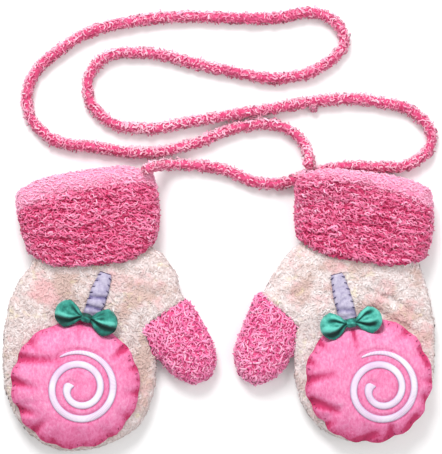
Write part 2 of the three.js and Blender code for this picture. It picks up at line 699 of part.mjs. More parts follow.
const pair = new THREE.Group();
for (const [side, mitten] of Object.entries(mittens)) {
  const whole = new THREE.Group();
  const { hand, thumb } = handAndThumb(mitten);
  whole.add(meshOf(`hand_${side}`, hand, finishes.hand));
  whole.add(meshOf(`thumb_${side}`, thumb, finishes.thumb));
  whole.add(meshOf(`cuff_${side}`, cuffOf(mitten, side === 'right' ? underCuff : null), finishes.cuff));
  whole.add(meshOf(`pad_${side}`, padOf(mitten), finishes.pad));
  whole.add(meshOf(`swirl_${side}`, swirlOf(mitten), finishes.swirl));
  whole.add(meshOf(`stick_${side}`, stickOf(mitten), finishes.stick));
  whole.add(meshOf(`bow_${side}`, bowOf(mitten), finishes.bow));
  whole.add(meshOf(`knot_${side}`, knotOf(mitten), finishes.knot));
  pair.add(whole);
}
pair.add(meshOf('neck_cord', cordOf(), finishes.cord));

export default pair;
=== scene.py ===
# Dresses a pair of small child's mittens: curly knit hands, thumbs and cuffs, puffed patches with a
# stitched spiral, felt strips, cloth bows and the fuzzy cord between them. Metres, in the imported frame.

import json
import math

import bpy
import numpy as np
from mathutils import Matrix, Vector
from mathutils.bvhtree import BVHTree

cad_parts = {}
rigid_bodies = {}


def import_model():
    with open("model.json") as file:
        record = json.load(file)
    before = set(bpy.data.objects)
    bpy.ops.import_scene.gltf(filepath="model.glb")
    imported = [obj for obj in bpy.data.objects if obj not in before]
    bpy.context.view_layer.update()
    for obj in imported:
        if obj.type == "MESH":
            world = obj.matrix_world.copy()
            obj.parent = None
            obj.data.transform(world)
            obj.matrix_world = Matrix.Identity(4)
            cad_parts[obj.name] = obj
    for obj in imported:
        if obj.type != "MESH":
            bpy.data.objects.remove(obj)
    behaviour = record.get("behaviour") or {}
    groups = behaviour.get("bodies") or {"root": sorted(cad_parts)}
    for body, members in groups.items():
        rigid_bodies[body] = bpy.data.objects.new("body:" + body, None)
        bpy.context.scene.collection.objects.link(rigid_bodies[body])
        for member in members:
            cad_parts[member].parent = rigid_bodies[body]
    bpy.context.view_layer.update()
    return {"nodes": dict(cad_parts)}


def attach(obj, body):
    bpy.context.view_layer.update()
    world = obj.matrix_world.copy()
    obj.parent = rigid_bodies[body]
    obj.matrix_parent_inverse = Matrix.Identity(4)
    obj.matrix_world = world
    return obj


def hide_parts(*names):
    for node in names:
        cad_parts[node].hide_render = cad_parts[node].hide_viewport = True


mm = 0.001

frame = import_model()
nodes = frame["nodes"]


def letGo():
    if bpy.context.object and bpy.context.object.mode != "OBJECT":
        bpy.ops.object.mode_set(mode="OBJECT")
    bpy.ops.object.select_all(action="DESELECT")


def pick(piece):
    letGo()
    piece.select_set(True)
    bpy.context.view_layer.objects.active = piece


def applied(piece, kind, **settings):
    # puts one modifier on a piece and applies it
    pick(piece)
    modifier = piece.modifiers.new(kind.title(), kind)
    for key, value in settings.items():
        setattr(modifier, key, value)
    bpy.ops.object.modifier_apply(modifier=modifier.name)


def pointsOf(piece):
    places = np.empty(len(piece.data.vertices) * 3)
    piece.data.vertices.foreach_get("co", places)
    return places.reshape(-1, 3)


def movePoints(piece, places):
    piece.data.vertices.foreach_set("co", places.ravel())
    piece.data.update()


def store(piece, name, values):
    # keeps a number for each point, for the materials to read
    attribute = piece.data.attributes.new(name, "FLOAT", "POINT")
    attribute.data.foreach_set("value", np.asarray(values, float))


def smoothstep(values):
    held = np.clip(values, 0, 1)
    return held * held * (3 - 2 * held)


def treeOf(piece):
    corners = [point.co for point in piece.data.vertices]
    return BVHTree.FromPolygons(corners, [list(face.vertices) for face in piece.data.polygons])


def tidyNormals(piece, merge=0.01):
    pick(piece)
    bpy.ops.object.mode_set(mode="EDIT")
    bpy.ops.mesh.select_all(action="SELECT")
    bpy.ops.mesh.remove_doubles(threshold=merge * mm)
    bpy.ops.mesh.normals_make_consistent(inside=False)
    bpy.ops.object.mode_set(mode="OBJECT")


def copyOf(node, name):
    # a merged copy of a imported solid, to be worked further
    piece = nodes[node].copy()
    piece.data = nodes[node].data.copy()
    piece.name = name
    piece.data.name = name
    piece.parent = None
    for key in list(piece.keys()):
        del piece[key]
    bpy.context.scene.collection.objects.link(piece)
    piece.data.materials.clear()
    pick(piece)
    bpy.ops.object.mode_set(mode="EDIT")
    bpy.ops.mesh.select_all(action="SELECT")
    bpy.ops.mesh.remove_doubles(threshold=0.01 * mm)
    bpy.ops.object.mode_set(mode="OBJECT")
    return piece


def foldAt(places, troughs):
    # how deep the troughs are at each place, in metres, and how much of a fold it is, from 0 to 1
    deep = np.zeros(len(places))
    fold = np.zeros(len(places))
    for trough in troughs:
        start = np.array(trough["from"]) * mm
        run = np.array(trough["to"]) * mm - start
        share = np.clip(((places[:, :2] - start) @ run) / (run @ run), 0, 1)
        nearest = start + share[:, None] * run
        away = np.linalg.norm(places[:, :2] - nearest, axis=1) / (trough["wide"] * mm)
        here = (1 - smoothstep(away)) * (1 - trough.get("fade", 0.5) * share)
        deep += here * trough["deep"] * mm
        fold = np.maximum(fold, here * min(1, trough["deep"] / 1.6))
    return deep, fold


# ---- shader helpers
def tint(red, green, blue):
    def linear(value):
        share = value / 255
        return share / 12.92 if share <= 0.04045 else ((share + 0.055) / 1.055) ** 2.4
    return (linear(red), linear(green), linear(blue), 1)


def grey(level):
    return (level, level, level, 1)


class Wire:
    # one value or colour between shader nodes, with Python's own operators
    def __init__(self, dye, socket):
        self.dye = dye
        self.socket = socket

    def maths(self, operation, first, second):
        return self.dye.node("ShaderNodeMath", {"operation": operation}, [first, second])

    def __add__(self, other):
        return self.maths("ADD", self, other)

    def __sub__(self, other):
        return self.maths("SUBTRACT", self, other)

    def __rsub__(self, other):
        return self.maths("SUBTRACT", other, self)

    def __mul__(self, other):
        return self.maths("MULTIPLY", self, other)

    def __pow__(self, other):
        return self.maths("POWER", self, other)

    __radd__ = __add__
    __rmul__ = __mul__


class Dye:
    # one material and the nodes that colour it
    def __init__(self, name, **fixed):
        self.material = bpy.data.materials.new(name)
        self.material.use_nodes = True
        self.tree = self.material.node_tree
        self.shader = self.tree.nodes["Principled BSDF"]
        for key, value in fixed.items():
            self.shader.inputs[key.replace("_", " ")].default_value = value

    def plug(self, socket, value):
        if isinstance(value, Wire):
            self.tree.links.new(value.socket, socket)
        else:
            socket.default_value = value

    def node(self, kind, settings=None, sockets=(), out=0):
        made = self.tree.nodes.new(kind)
        for key, value in (settings or {}).items():
            if key == "stops":
                while len(made.color_ramp.elements) < len(value):
                    made.color_ramp.elements.new(0.5)
                for element, (place, colour) in zip(made.color_ramp.elements, value):
                    element.position = place
                    element.color = colour
            else:
                setattr(made, key, value)
        pairs = sockets.items() if isinstance(sockets, dict) else enumerate(sockets)
        for key, value in pairs:
            self.plug(made.inputs[key], value)
        return Wire(self, made.outputs[out])

    def places(self):
        return self.node("ShaderNodeTexCoord", out="Object")

    def attribute(self, name):
        return self.node("ShaderNodeAttribute", {"attribute_name": name}, out="Fac")

    def noise(self, scale, detail=3, roughness=0.55, places=None):
        return self.node("ShaderNodeTexNoise", {}, {
            "Vector": places or self.places(), "Scale": scale, "Detail": detail, "Roughness": roughness,
        })

    def ramp(self, value, *stops):
        return self.node("ShaderNodeValToRGB", {"stops": stops}, [value])

    def mix(self, share, first, second, way="MIX"):
        return self.node("ShaderNodeMix", {"data_type": "RGBA", "blend_type": way},
                         {0: share, 6: first, 7: second}, out=2)

    def stretched(self, turn, scale, places=None):
        return self.node("ShaderNodeMapping", {}, {
            "Vector": places or self.places(), "Rotation": (0, 0, math.radians(turn)), "Scale": scale,
        })

    def bumped(self, height, strength, distance):
        normal = self.node("ShaderNodeBump", {}, {
            "Strength": strength, "Distance": distance, "Height": height,
        }, out="Normal")
        self.plug(self.shader.inputs["Normal"], normal)

    def colour(self, value):
        self.plug(self.shader.inputs["Base Color"], value)


def dressed(piece, dye, slot, *replaced):
    piece.data.materials.clear()
    piece.data.materials.append(dye.material)
    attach(piece, "root")
    if replaced:
        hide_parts(*replaced)


# ---- camera and light
view = {"place": (0.001, 0.04075, 1.269), "lens": 200, "sensor": 36}
camera = bpy.data.cameras.new("camera")
camera.lens = view["lens"]
camera.sensor_width = view["sensor"]
cameraObject = bpy.data.objects.new("camera", camera)
cameraObject.location = view["place"]
bpy.context.scene.collection.objects.link(cameraObject)
bpy.context.scene.camera = cameraObject
bpy.context.scene.view_settings.view_transform = "Standard"

lamps = {
    "key": {"place": (-0.2, 0.8, 0.75), "aim": (0, 0, 0), "width": 0.55, "power": 10.5},
    "fill": {"place": (0.8, 0.1, 0.9), "aim": (0, 0.03, 0), "width": 0.9, "power": 3},
}
for name, lamp in lamps.items():
    light = bpy.data.lights.new(name, "AREA")
    light.shape = "DISK"
    light.size = lamp["width"]
    light.energy = lamp["power"]
    lightObject = bpy.data.objects.new(name, light)
    lightObject.location = lamp["place"]
    aim = Vector(lamp["aim"]) - Vector(lamp["place"])
    lightObject.rotation_euler = aim.to_track_quat("-Z", "Y").to_euler()
    bpy.context.scene.collection.objects.link(lightObject)

world = bpy.data.worlds.new("studio")
world.use_nodes = True
world.node_tree.nodes["Background"].inputs["Color"].default_value = (1, 1, 1, 1)
world.node_tree.nodes["Background"].inputs["Strength"].default_value = 0.72
bpy.context.scene.world = world

letGo()
bpy.ops.mesh.primitive_grid_add(x_subdivisions=4, y_subdivisions=4, size=6, location=(0, 0, -0.0002))
floor = bpy.context.object
floor.name = "floor"
floorDye = Dye("floor_paper", Roughness=0.9, Specular_IOR_Level=0.1)
floorDye.colour(floorDye.ramp(floorDye.noise(3), (0.3, grey(0.93)), (0.7, grey(0.95))))
floor.data.materials.append(floorDye.material)
print("camera, lights and floor made")


# ---- one curl of yarn, modelled once for each shape and then laid in arrays
curlShapes = {
    # a cubic bend: places along, across and up, in millimetres
    "hook": [(-1.4, -0.6, -0.6), (-0.9, 1.3, 1.1), (0.9, 1.3, 1.1), (1.4, -0.6, -0.6)],
    "wave": [(-1.8, 0.3, -0.6), (-0.5, 1.8, 1.2), (0.5, -1.8, 1.2), (1.8, -0.3, -0.6)],
    "loop": [(-0.5, -0.4, -0.6), (2.4, 0.5, 1.3), (-1.6, 2, 1.3), (0.7, -0.3, -0.6)],
    "stray": [(-0.4, 0, -0.6), (0.1, 0.5, 0.4), (0.7, -0.4, 0.9), (1.2, 0.3, 1.3)],  # an end that stands out
}


def threeSided(radius):
    # the section of a thin strand
    section = bpy.data.objects.new("section", bpy.data.curves.new("section", "CURVE"))
    corners = section.data.splines.new("POLY")
    corners.points.add(2)
    for k, corner in enumerate(corners.points):
        turn = math.radians(90 - 120 * k)
        corner.co = (radius * mm * math.cos(turn), radius * mm * math.sin(turn), 0, 1)
    corners.use_cyclic_u = True
    bpy.context.scene.collection.objects.link(section)
    return section


def modelCurl(bends, radius, lengths):
    section = threeSided(radius)
    letGo()
    bpy.ops.curve.primitive_bezier_curve_add(radius=1, location=(0, 0, 0))
    curl = bpy.context.object
    first, last = curl.data.splines[0].bezier_points
    for point in (first, last):
        point.handle_left_type = "FREE"
        point.handle_right_type = "FREE"
    first.co, first.handle_right, last.handle_left, last.co = [Vector(bend) * mm for bend in bends]
    first.handle_left = first.co * 2 - first.handle_right
    last.handle_right = last.co * 2 - last.handle_left
    first.radius = 0.75
    curl.data.resolution_u = lengths
    curl.data.bevel_mode = "OBJECT"
    curl.data.bevel_object = section
    curl.data.use_fill_caps = True
    bpy.ops.object.convert(target="MESH")
    curl = bpy.context.object
    bpy.data.objects.remove(section)
    places = pointsOf(curl)
    curl.data.calc_loop_triangles()
    faces = np.array([list(face.vertices) for face in curl.data.loop_triangles])
    bpy.data.objects.remove(curl)
    return places, faces


def joinArrays(name, models, chosen, spots, attributes, soft=0):
    # one joined mesh of many copies: spots gives each copy's place, its three directions and its size;
    # soft is how far the light falls on a strand as on the cloth below it
    allPlaces, allFaces, over, kept = [], [], [], {key: [] for key in attributes}
    start = 0
    for which, (model, faces) in enumerate(models):
        mine = chosen == which
        number = int(mine.sum())
        copies = (
            model[None, :, 0:1] * spots["along"][mine][:, None, :]
            + model[None, :, 1:2] * spots["aside"][mine][:, None, :]
            + model[None, :, 2:3] * spots["up"][mine][:, None, :]
        ) * spots["size"][mine][:, None, None] + spots["place"][mine][:, None, :]
        allPlaces.append(copies.reshape(-1, 3))
        over.append(np.repeat(spots["over" if soft else "up"][mine], len(model), axis=0))
        allFaces.append((faces[None] + start + np.arange(number)[:, None, None] * len(model)).reshape(-1, 3))
        for key, values in attributes.items():
            kept[key].append(np.repeat(values[mine], len(model)))
        start += number * len(model)
    places = np.concatenate(allPlaces)
    places[:, 2] = np.maximum(places[:, 2], 0.05 * mm)  # pressed flat where it lies on the table
    faces = np.concatenate(allFaces)
    mesh = bpy.data.meshes.new(name)
    mesh.vertices.add(len(places))
    mesh.vertices.foreach_set("co", places.ravel())
    mesh.loops.add(faces.size)
    mesh.loops.foreach_set("vertex_index", faces.ravel())
    mesh.polygons.add(len(faces))
    mesh.polygons.foreach_set("loop_start", np.arange(0, faces.size, 3))
    mesh.update(calc_edges=True)
    mesh.shade_smooth()
    if soft:
        normals = np.empty(len(places) * 3)
        mesh.vertices.foreach_get("normal", normals)
        normals = normals.reshape(-1, 3) * (1 - soft) + np.concatenate(over) * soft
        normals /= np.linalg.norm(normals, axis=1)[:, None]
        mesh.normals_split_custom_set_from_vertices(normals.tolist())
    joined = bpy.data.objects.new(name, mesh)
    bpy.context.scene.collection.objects.link(joined)
    for key, values in kept.items():
        store(joined, key, np.concatenate(values))
    return joined


def edgeShare(piece):
    # 0 on top and 1 where the cloth turns down at the sides
    up = np.array([point.normal.z for point in piece.data.vertices])
    return 1 - smoothstep((up - 0.2) / 0.6)


def openFaces(piece, covers, reach):
    # the faces of a shell that can be seen from outside and that no cover lies close over
    own = treeOf(piece)
    others = [treeOf(nodes[cover]) for cover in covers]
    kept = []
    for face in piece.data.polygons:
        start = face.center + face.normal * 0.4 * mm
        if own.ray_cast(start, face.normal, 40 * mm)[0] is not None:
            continue
        if any(other.ray_cast(start, face.normal, reach)[0] is not None for other in others):
            continue
        kept.append(face.index)
    return np.array(kept)


def scatter(piece, kept, wanted, rng):
    # spots over the kept faces, wanted of them for each square millimetre
    faces = piece.data.polygons
    centres = np.array([faces[k].center for k in kept])
    normals = np.array([faces[k].normal for k in kept])
    areas = np.array([faces[k].area for k in kept])
    number = np.floor(areas / mm ** 2 * wanted(centres, normals) + rng.random(len(areas))).astype(int)
    which = np.repeat(np.arange(len(kept)), number)
    up = normals[which]
    level = np.cross(up, np.where(np.abs(up[:, 2:3]) > 0.9, [[1.0, 0, 0]], [[0, 0, 1.0]]))
    level /= np.linalg.norm(level, axis=1)[:, None]
    side = np.cross(up, level)
    spread = np.sqrt(areas[which])[:, None] * (rng.random((len(which), 2)) - 0.5)
    return centres[which] + level * spread[:, :1] + side * spread[:, 1:], up


def layCurls(name, place, up, pile, tone, rng, **kept):
    # the curls follow the pile's rows, more or less, and lean a little
    count = len(place)
    rows = np.array([math.cos(math.radians(pile["rows"])), math.sin(math.radians(pile["rows"])), 0])
    along = rows - up * (up @ rows)[:, None]
    along /= np.maximum(np.linalg.norm(along, axis=1)[:, None], 1e-6)
    turn = rng.normal(0, math.radians(pile["stray"]), count)[:, None]
    turn = turn + math.pi * rng.integers(0, 2, (count, 1))
    along = along * np.cos(turn) + np.cross(up, along) * np.sin(turn)
    leaning = up + along * rng.normal(0, pile["lean"], (count, 1))
    leaning /= np.linalg.norm(leaning, axis=1)[:, None]
    along = along - leaning * np.sum(along * leaning, axis=1)[:, None]
    along /= np.linalg.norm(along, axis=1)[:, None]
    raised = rng.uniform(*pile["raised"], count)[:, None] * mm
    spots = {
        "place": place + up * raised, "over": up, "up": leaning * pile.get("tall", 1), "along": along, "aside": np.cross(leaning, along),
        "size": np.clip(rng.normal(1, 0.2, count), 0.55, 1.6) * pile["size"] * pile.get("sizes", 1),
    }
    models = [modelCurl(bends, pile["strand"] / pile["size"], pile["lengths"]) for bends in curlShapes.values()]
    chosen = rng.choice(len(models), count, p=pile["mixture"])
    tones = np.clip(tone + rng.normal(0, pile.get("varied", 0.2), count), 0, 1)
    return joinArrays(name, models, chosen, spots, {"tone": tones, **kept}, pile["soft"])


# ---- cord
cordLook = {
    "diameter": 6, "core": 2.3, "length": 850,
    "pile": {"rows": 0, "stray": 90, "lean": 0.6, "size": 0.72, "raised": (-0.1, 0.6), "strand": 0.34,
             "mixture": (0.37, 0.2, 0.21, 0.22), "lengths": 3, "soft": 0.4},
    # the side of the fuzz towards the key light is painted paler, a painted highlight
    "density": 0.58, "paintedLitSide": (-0.35, 0.94, 0.1),
    "paler": [{"at": (-30, 95), "wide": 38, "more": 0.32}, {"at": (20, 146), "wide": 45, "more": -0.3}],
    # a small tuft where the yarn was joined
    "tuft": {"place": (47.6, 100.6, 3.2), "spread": 1.3, "curls": 60},
    "route": [
        (-37.2, 69, 17.6), (-33.4, 70.6, 14.2), (-29.4, 71.8, 8), (-24.6, 72.3, 4.2), (-17, 72.2, 3.05),
        (1.5, 69.8, 3.05), (18.5, 63.4, 3.05), (31.5, 62.8, 3.05), (48, 68, 3.05), (63.5, 71.2, 3.05),
        (81, 70.8, 3.05), (98, 73.4, 3.05), (106.6, 84.8, 3.05), (99.4, 97, 3.05), (78.5, 103.8, 3.05),
        (58.5, 104.8, 3.05), (23.5, 99.8, 3.05), (-12.5, 94, 3.05), (-39, 90.2, 3.05), (-58, 95.8, 3.05),
        (-66, 110.6, 3.05), (-58.6, 125, 3.05), (-42.5, 128.4, 3.05), (1.5, 119.8, 3.05), (33.5, 115.8, 3.05),
        (55, 123.8, 3.05), (62.6, 134, 3.05), (54, 146.4, 3.05), (25, 145.4, 3.05), (-40.5, 144.4, 3.05),
        (-76, 132.4, 3.05), (-96.4, 107, 3.05), (-87.6, 87.6, 3.05), (-61, 80.8, 3.05), (-35, 78.3, 3.05),
        (-14, 82.2, 3.05), (12, 91.4, 3.05), (33, 90.6, 3.05), (43.4, 81.4, 4.4), (45, 71, 11.8),
    ],
}

letGo()
bpy.ops.curve.primitive_bezier_curve_add(radius=1, location=(0, 0, 0))
cord = bpy.context.object
cord.name = "cord"
cord.data.splines[0].bezier_points.add(len(cordLook["route"]) - 2)
for point, place in zip(cord.data.splines[0].bezier_points, cordLook["route"]):
    point.co = Vector(place) * mm
    point.handle_left_type = "AUTO"
    point.handle_right_type = "AUTO"
cord.data.resolution_u = 60  # fine while the curls are laid
cord.data.bevel_depth = cordLook["core"] * mm
cord.data.bevel_resolution = 2
cord.data.use_fill_caps = True

cordDye = Dye("cord_core", Roughness=0.95, Sheen_Weight=0.3, Sheen_Roughness=0.5, Specular_IOR_Level=0.2)
cordDye.colour(cordDye.ramp(cordDye.noise(420, 3), (0.35, tint(192, 50, 98)), (0.68, tint(222, 92, 138))))
cordDye.bumped(cordDye.noise(900, 3), 0.8, 0.4 * mm)

cordSkin = bpy.data.objects.new("cord_skin", bpy.data.meshes.new_from_object(
    cord.evaluated_get(bpy.context.evaluated_depsgraph_get())))
bpy.context.scene.collection.objects.link(cordSkin)
cordRng = np.random.default_rng(11)
cordPlaces, cordUps = scatter(cordSkin, np.arange(len(cordSkin.data.polygons)),
                              lambda centres, normals: np.where(normals[:, 2] < -0.5, 0.45, 1) * cordLook["density"],
                              cordRng)
bpy.data.objects.remove(cordSkin)
cord.data.resolution_u = 8
tuft = cordLook["tuft"]
tuftUps = cordRng.normal(0, 1, (tuft["curls"], 3))
tuftUps /= np.linalg.norm(tuftUps, axis=1)[:, None]
cordPlaces = np.concatenate([cordPlaces, (np.array(tuft["place"]) + tuftUps * tuft["spread"]) * mm])
cordUps = np.concatenate([cordUps, tuftUps])
cordTones = 0.55 + 0.28 * (cordUps @ np.array(cordLook["paintedLitSide"]))  # painted highlight: the fuzz is painted paler on its side towards the key light
for span in cordLook["paler"]:
    away = np.linalg.norm(cordPlaces[:, :2] / mm - np.array(span["at"]), axis=1)
    cordTones = cordTones + span["more"] * (1 - smoothstep(away / span["wide"]))
cordCurls = layCurls("cord_curls", cordPlaces, cordUps, cordLook["pile"], cordTones, cordRng)
cordCurlDye = Dye("cord_curls", Roughness=0.95, Sheen_Weight=0.4, Sheen_Roughness=0.5, Specular_IOR_Level=0.2)
cordPatches = cordCurlDye.noise(130, 2)
cordCurlDye.colour(cordCurlDye.ramp(
    cordCurlDye.attribute("tone") * 0.8 + cordPatches * 0.5 - 0.12, (0.1, tint(210, 74, 120)),
    (0.5, tint(236, 136, 171)), (0.85, tint(249, 196, 214))))
dressed(cord, cordDye, "cord_yarn", "neck_cord")
dressed(cordCurls, cordCurlDye, "cord_yarn")
print("cord laid,", len(cordCurls.data.polygons), "triangles of curls")


# ---- knit shells: hands, thumbs and cuffs
cuffRows = {
    # the rim and the free edge: middle, slope and bow across the cuff, and its half width, in millimetres;
    # pale is the band along the rim, painted paler as a painted highlight where the folded cuff rounds over: how wide
    # it is in the middle, and how much wider towards +X
    "left": {"middle": -66, "half": 34, "rim": (63.7, 5.3, 5.2), "free": (30.5, 2.3, -9), "rows": 6,
             "pale": (5.5, -1.5)},
    "right": {"middle": 71.8, "half": 34, "rim": (63.9, -3.9, 4.4), "free": (30.2, -5, -6.6), "rows": -7,
              "pale": (2.5, 4)},
    "apart": 4.2, "groove": 0.65, "fading": 7,
}


def cuffShare(side, places):
    # 0 at the rim and 1 at the free edge
    rows = cuffRows[side]
    across = np.clip((places[:, 0] / mm - rows["middle"]) / rows["half"], -1, 1)
    rim, free = [middle + slope * across + bow * (1 - across ** 4)
                 for middle, slope, bow in (rows["rim"], rows["free"])]
    return (rim - places[:, 1] / mm) / (rim - free), rim - places[:, 1] / mm


def rowWave(side, places):
    # 1 on a row of curls and -1 between two rows, which wander a little
    fromRim = cuffShare(side, places)[1]
    x = places[:, 0] / mm
    wander = 0.9 * np.sin(x / 6.3 + 0.11 * fromRim) + 0.6 * np.sin(x / 2.9 + 1.3 + fromRim / 7)
    return np.cos(2 * np.pi * (fromRim + wander) / cuffRows["apart"])


def rimShare(side, places):
    # 1 on the band along the rim, closely fuzzed and painted pale as a painted highlight on the rounded fold, and 0
    # below it
    rows = cuffRows[side]
    across = np.clip((places[:, 0] / mm - rows["middle"]) / rows["half"], -1, 1)
    band = rows["pale"][0] + rows["pale"][1] * across
    return 1 - smoothstep((cuffShare(side, places)[1] - band) / cuffRows["fading"])


knits = {
    "cuff": {
        # the cuff's ground is darker than its curls: partly the knit's own deeper pink, partly painted shade in the
        # gaps between the curls
        "voxel": 1.5, "slot": "cuff_knit", "ground": (tint(156, 26, 70), tint(192, 56, 102)),
        "curls": (tint(198, 54, 102), tint(234, 118, 160), tint(250, 182, 210)),
        "covers": (), "held": "folded", "lumps": 0.5, "density": 0.95, "underside": 0.3, "tone": 0.39,
        "outline": 0.1,
        "pile": {"soft": 0.35, "stray": 30, "lean": 0.35, "size": 0.8, "raised": (-0.15, 0.5), "strand": 0.4,
                 "mixture": (0.32, 0.38, 0.24, 0.06), "lengths": 3},
    },
    "hand": {
        "voxel": 1.6, "slot": "hand_knit", "ground": (tint(211, 193, 191), tint(230, 219, 218)),
        "curls": (tint(206, 187, 184), tint(227, 214, 213), tint(242, 234, 234)),
        "covers": ("cuff", "pad", "stick"), "held": "laid", "lumps": 1.1, "density": 1, "underside": 0.2,
        "tone": 0.47, "shift": {"left": -0.28, "right": -0.06}, "outline": 0.0,
        "pile": {"soft": 0.52, "stray": 65, "lean": 0.2, "size": 0.7, "raised": (-0.4, 0.0), "strand": 0.48, "varied": 0.24,
                 "tall": 0.6,
                 "mixture": (0.4, 0.33, 0.25, 0.02), "lengths": 3},
    },
    "thumb": {
        # the thumb's ground is darker than its curls: partly the knit's own deeper pink, partly painted shade in the
        # gaps between the curls
        "voxel": 1.5, "slot": "thumb_knit", "ground": (tint(204, 50, 108), tint(230, 98, 150)),
        "curls": (tint(226, 90, 148), tint(245, 148, 190), tint(252, 190, 216)),
        "covers": (), "held": "laid", "lumps": 0.7, "density": 0.74, "underside": 0.3, "tone": 0.4,
        "outline": 0.1,
        "pile": {"soft": 0.4, "stray": 90, "lean": 0.35, "size": 0.94, "raised": (-0.1, 0.5), "strand": 0.42, "varied": 0.24,
                 "mixture": (0.33, 0.28, 0.33, 0.06), "lengths": 4},
    },
}
creases = {
    # soft troughs, listed one by one: plan places in millimetres, how deep and how wide
    "cuff_left": [
        {"from": (-97, 50), "to": (-76, 48.5), "deep": 0.9, "wide": 2.2},
        {"from": (-92, 35.5), "to": (-66, 33), "deep": 1.3, "wide": 2.4, "fade": 0.2},
        {"from": (-74, 40), "to": (-52, 39), "deep": 1.1, "wide": 2.2},
        {"from": (-60, 54), "to": (-44, 53), "deep": 0.8, "wide": 1.8},
        {"from": (-82, 28), "to": (-62, 24.5), "deep": 0.8, "wide": 2},
        {"from": (-88, 57), "to": (-70, 60), "deep": 0.7, "wide": 1.8},
        {"from": (-49, 46), "to": (-33, 47.5), "deep": 0.8, "wide": 1.8},
    ],
    "cuff_right": [
        {"from": (46, 53), "to": (66, 52), "deep": 1, "wide": 2.2},
        {"from": (62, 44), "to": (84, 41), "deep": 1.2, "wide": 2.4, "fade": 0.2},
        {"from": (44, 38), "to": (60, 34.5), "deep": 0.9, "wide": 2},
        {"from": (82, 51), "to": (102, 47), "deep": 1, "wide": 2},
        {"from": (70, 31), "to": (92, 28), "deep": 0.9, "wide": 2.2},
        {"from": (58, 61.5), "to": (76, 61), "deep": 0.7, "wide": 1.8},
    ],
    "hand_left": [
        {"from": (-43, -19), "to": (-39.5, -8), "deep": 1.4, "wide": 3},
        {"from": (-31, 6), "to": (-47, 12), "deep": 1, "wide": 3},
        {"from": (-101, 6), "to": (-93, -6), "deep": 0.9, "wide": 3},
        {"from": (-48, 20), "to": (-36, 14), "deep": 0.9, "wide": 2.6},
        {"from": (-84, 18), "to": (-74, 12), "deep": 0.8, "wide": 2.6},
        {"from": (-36, -30), "to": (-37, -44), "deep": 0.8, "wide": 2.4},
    ],
    "hand_right": [
        {"from": (76, 0.5), "to": (99, -12.5), "deep": 1.5, "wide": 2.6, "fade": 0.3},
        {"from": (82, 6.5), "to": (103, -5), "deep": 1.2, "wide": 2.6, "fade": 0.4},
        {"from": (74, 9), "to": (90, 4), "deep": 1, "wide": 2.4},
        {"from": (44, -16), "to": (40, -4), "deep": 1.3, "wide": 3},
        {"from": (33, 5), "to": (47, 12), "deep": 0.9, "wide": 3},
        {"from": (88, 19), "to": (98, 12), "deep": 0.8, "wide": 2.6},
        {"from": (42, -30), "to": (42, -44), "deep": 0.8, "wide": 2.4},
    ],
    "thumb_left": [
        {"from": (-30, -4), "to": (-22, -14), "deep": 0.9, "wide": 2.6},
        {"from": (-14, -14), "to": (-9, -24), "deep": 0.8, "wide": 2.4},
        {"from": (-24, -24), "to": (-17, -30), "deep": 0.7, "wide": 2.2},
    ],
    "thumb_right": [
        {"from": (31, -2), "to": (24, -13), "deep": 0.9, "wide": 2.6},
        {"from": (16, -12), "to": (13, -24), "deep": 0.8, "wide": 2.4},
        {"from": (28, -22), "to": (21, -29), "deep": 0.7, "wide": 2.2},
    ],
}
mottlesAndShade = {
    # where the hand is painted rose and beige on the upper side, partly the yarn's own colour and partly painted shade
    # along creases, beside the patches and below the cuff's free edge: places and half widths in millimetres
    "left": [
        {"at": (-87.5, 11), "wide": (6, 6), "rose": 1, "beige": 0.2},
        {"at": (-76, 15), "wide": (7, 5), "rose": 0.3, "beige": 0.8},
        {"at": (-76, 8), "wide": (9, 5), "rose": 0.5, "beige": 0.7},
        {"at": (-45, 13), "wide": (9, 6), "rose": 0.9, "beige": 0.5},
        {"at": (-36, 7), "wide": (10, 6), "rose": 0.3, "beige": 1},
        {"at": (-37, -27), "wide": (4, 16), "rose": 0.4, "beige": 1},
        {"at": (-47, -2), "wide": (5, 8), "rose": 0.6, "beige": 0.3},
    ],
    "right": [
        {"at": (42, 13), "wide": (7, 6), "rose": 0.3, "beige": 0.8},
        {"at": (60, 21), "wide": (14, 4), "rose": 0.7, "beige": 0.5},
        {"at": (80, 4), "wide": (7, 6), "rose": 0.9, "beige": 0.6},
        {"at": (92, -6), "wide": (9, 7), "rose": 0.9, "beige": 0.7},
        {"at": (101, -14), "wide": (6, 6), "rose": 0.6, "beige": 0.9},
        {"at": (98, 18), "wide": (6, 4), "rose": 0.3, "beige": 0.2},
    ],
}


# the listed rose and beige spots: partly the yarn's own colour, partly painted shade
def stainAndShadeAt(side, places, which):
    strong = np.zeros(len(places))
    for spot in mottlesAndShade[side]:
        offset = (places[:, :2] / mm - np.array(spot["at"])) / np.array(spot["wide"])
        strong = np.maximum(strong, spot[which] * np.exp(-np.sum(offset ** 2, axis=1)) * (places[:, 2] > tops["low"] * mm))
    return strong


joint = {"reach": 3.2, "deep": 2.4}  # how far from the hand the thumb's edge is drawn in, and how much
tops = {"low": 5, "high": 8}  # the upper cloth is above this band, in millimetres, and the lower one below it

lumps = bpy.data.textures.new("lumps", "CLOUDS")
lumps.noise_scale = 5.5 * mm
lumps.noise_depth = 1


def curlDye(name, deep, middle, pale):
    dye = Dye(name, Roughness=0.92, Sheen_Weight=0.1, Sheen_Roughness=0.5, Specular_IOR_Level=0.15)
    tone = dye.attribute("tone") * 0.8 + dye.noise(70, 2) * 0.4 - 0.12
    dye.yarn = dye.ramp(tone, (0.1, deep), (0.45, middle), (0.88, pale))
    dye.colour(dye.yarn)
    dye.bumped(dye.noise(1500, 2), 0.5, 0.2 * mm)
    return dye


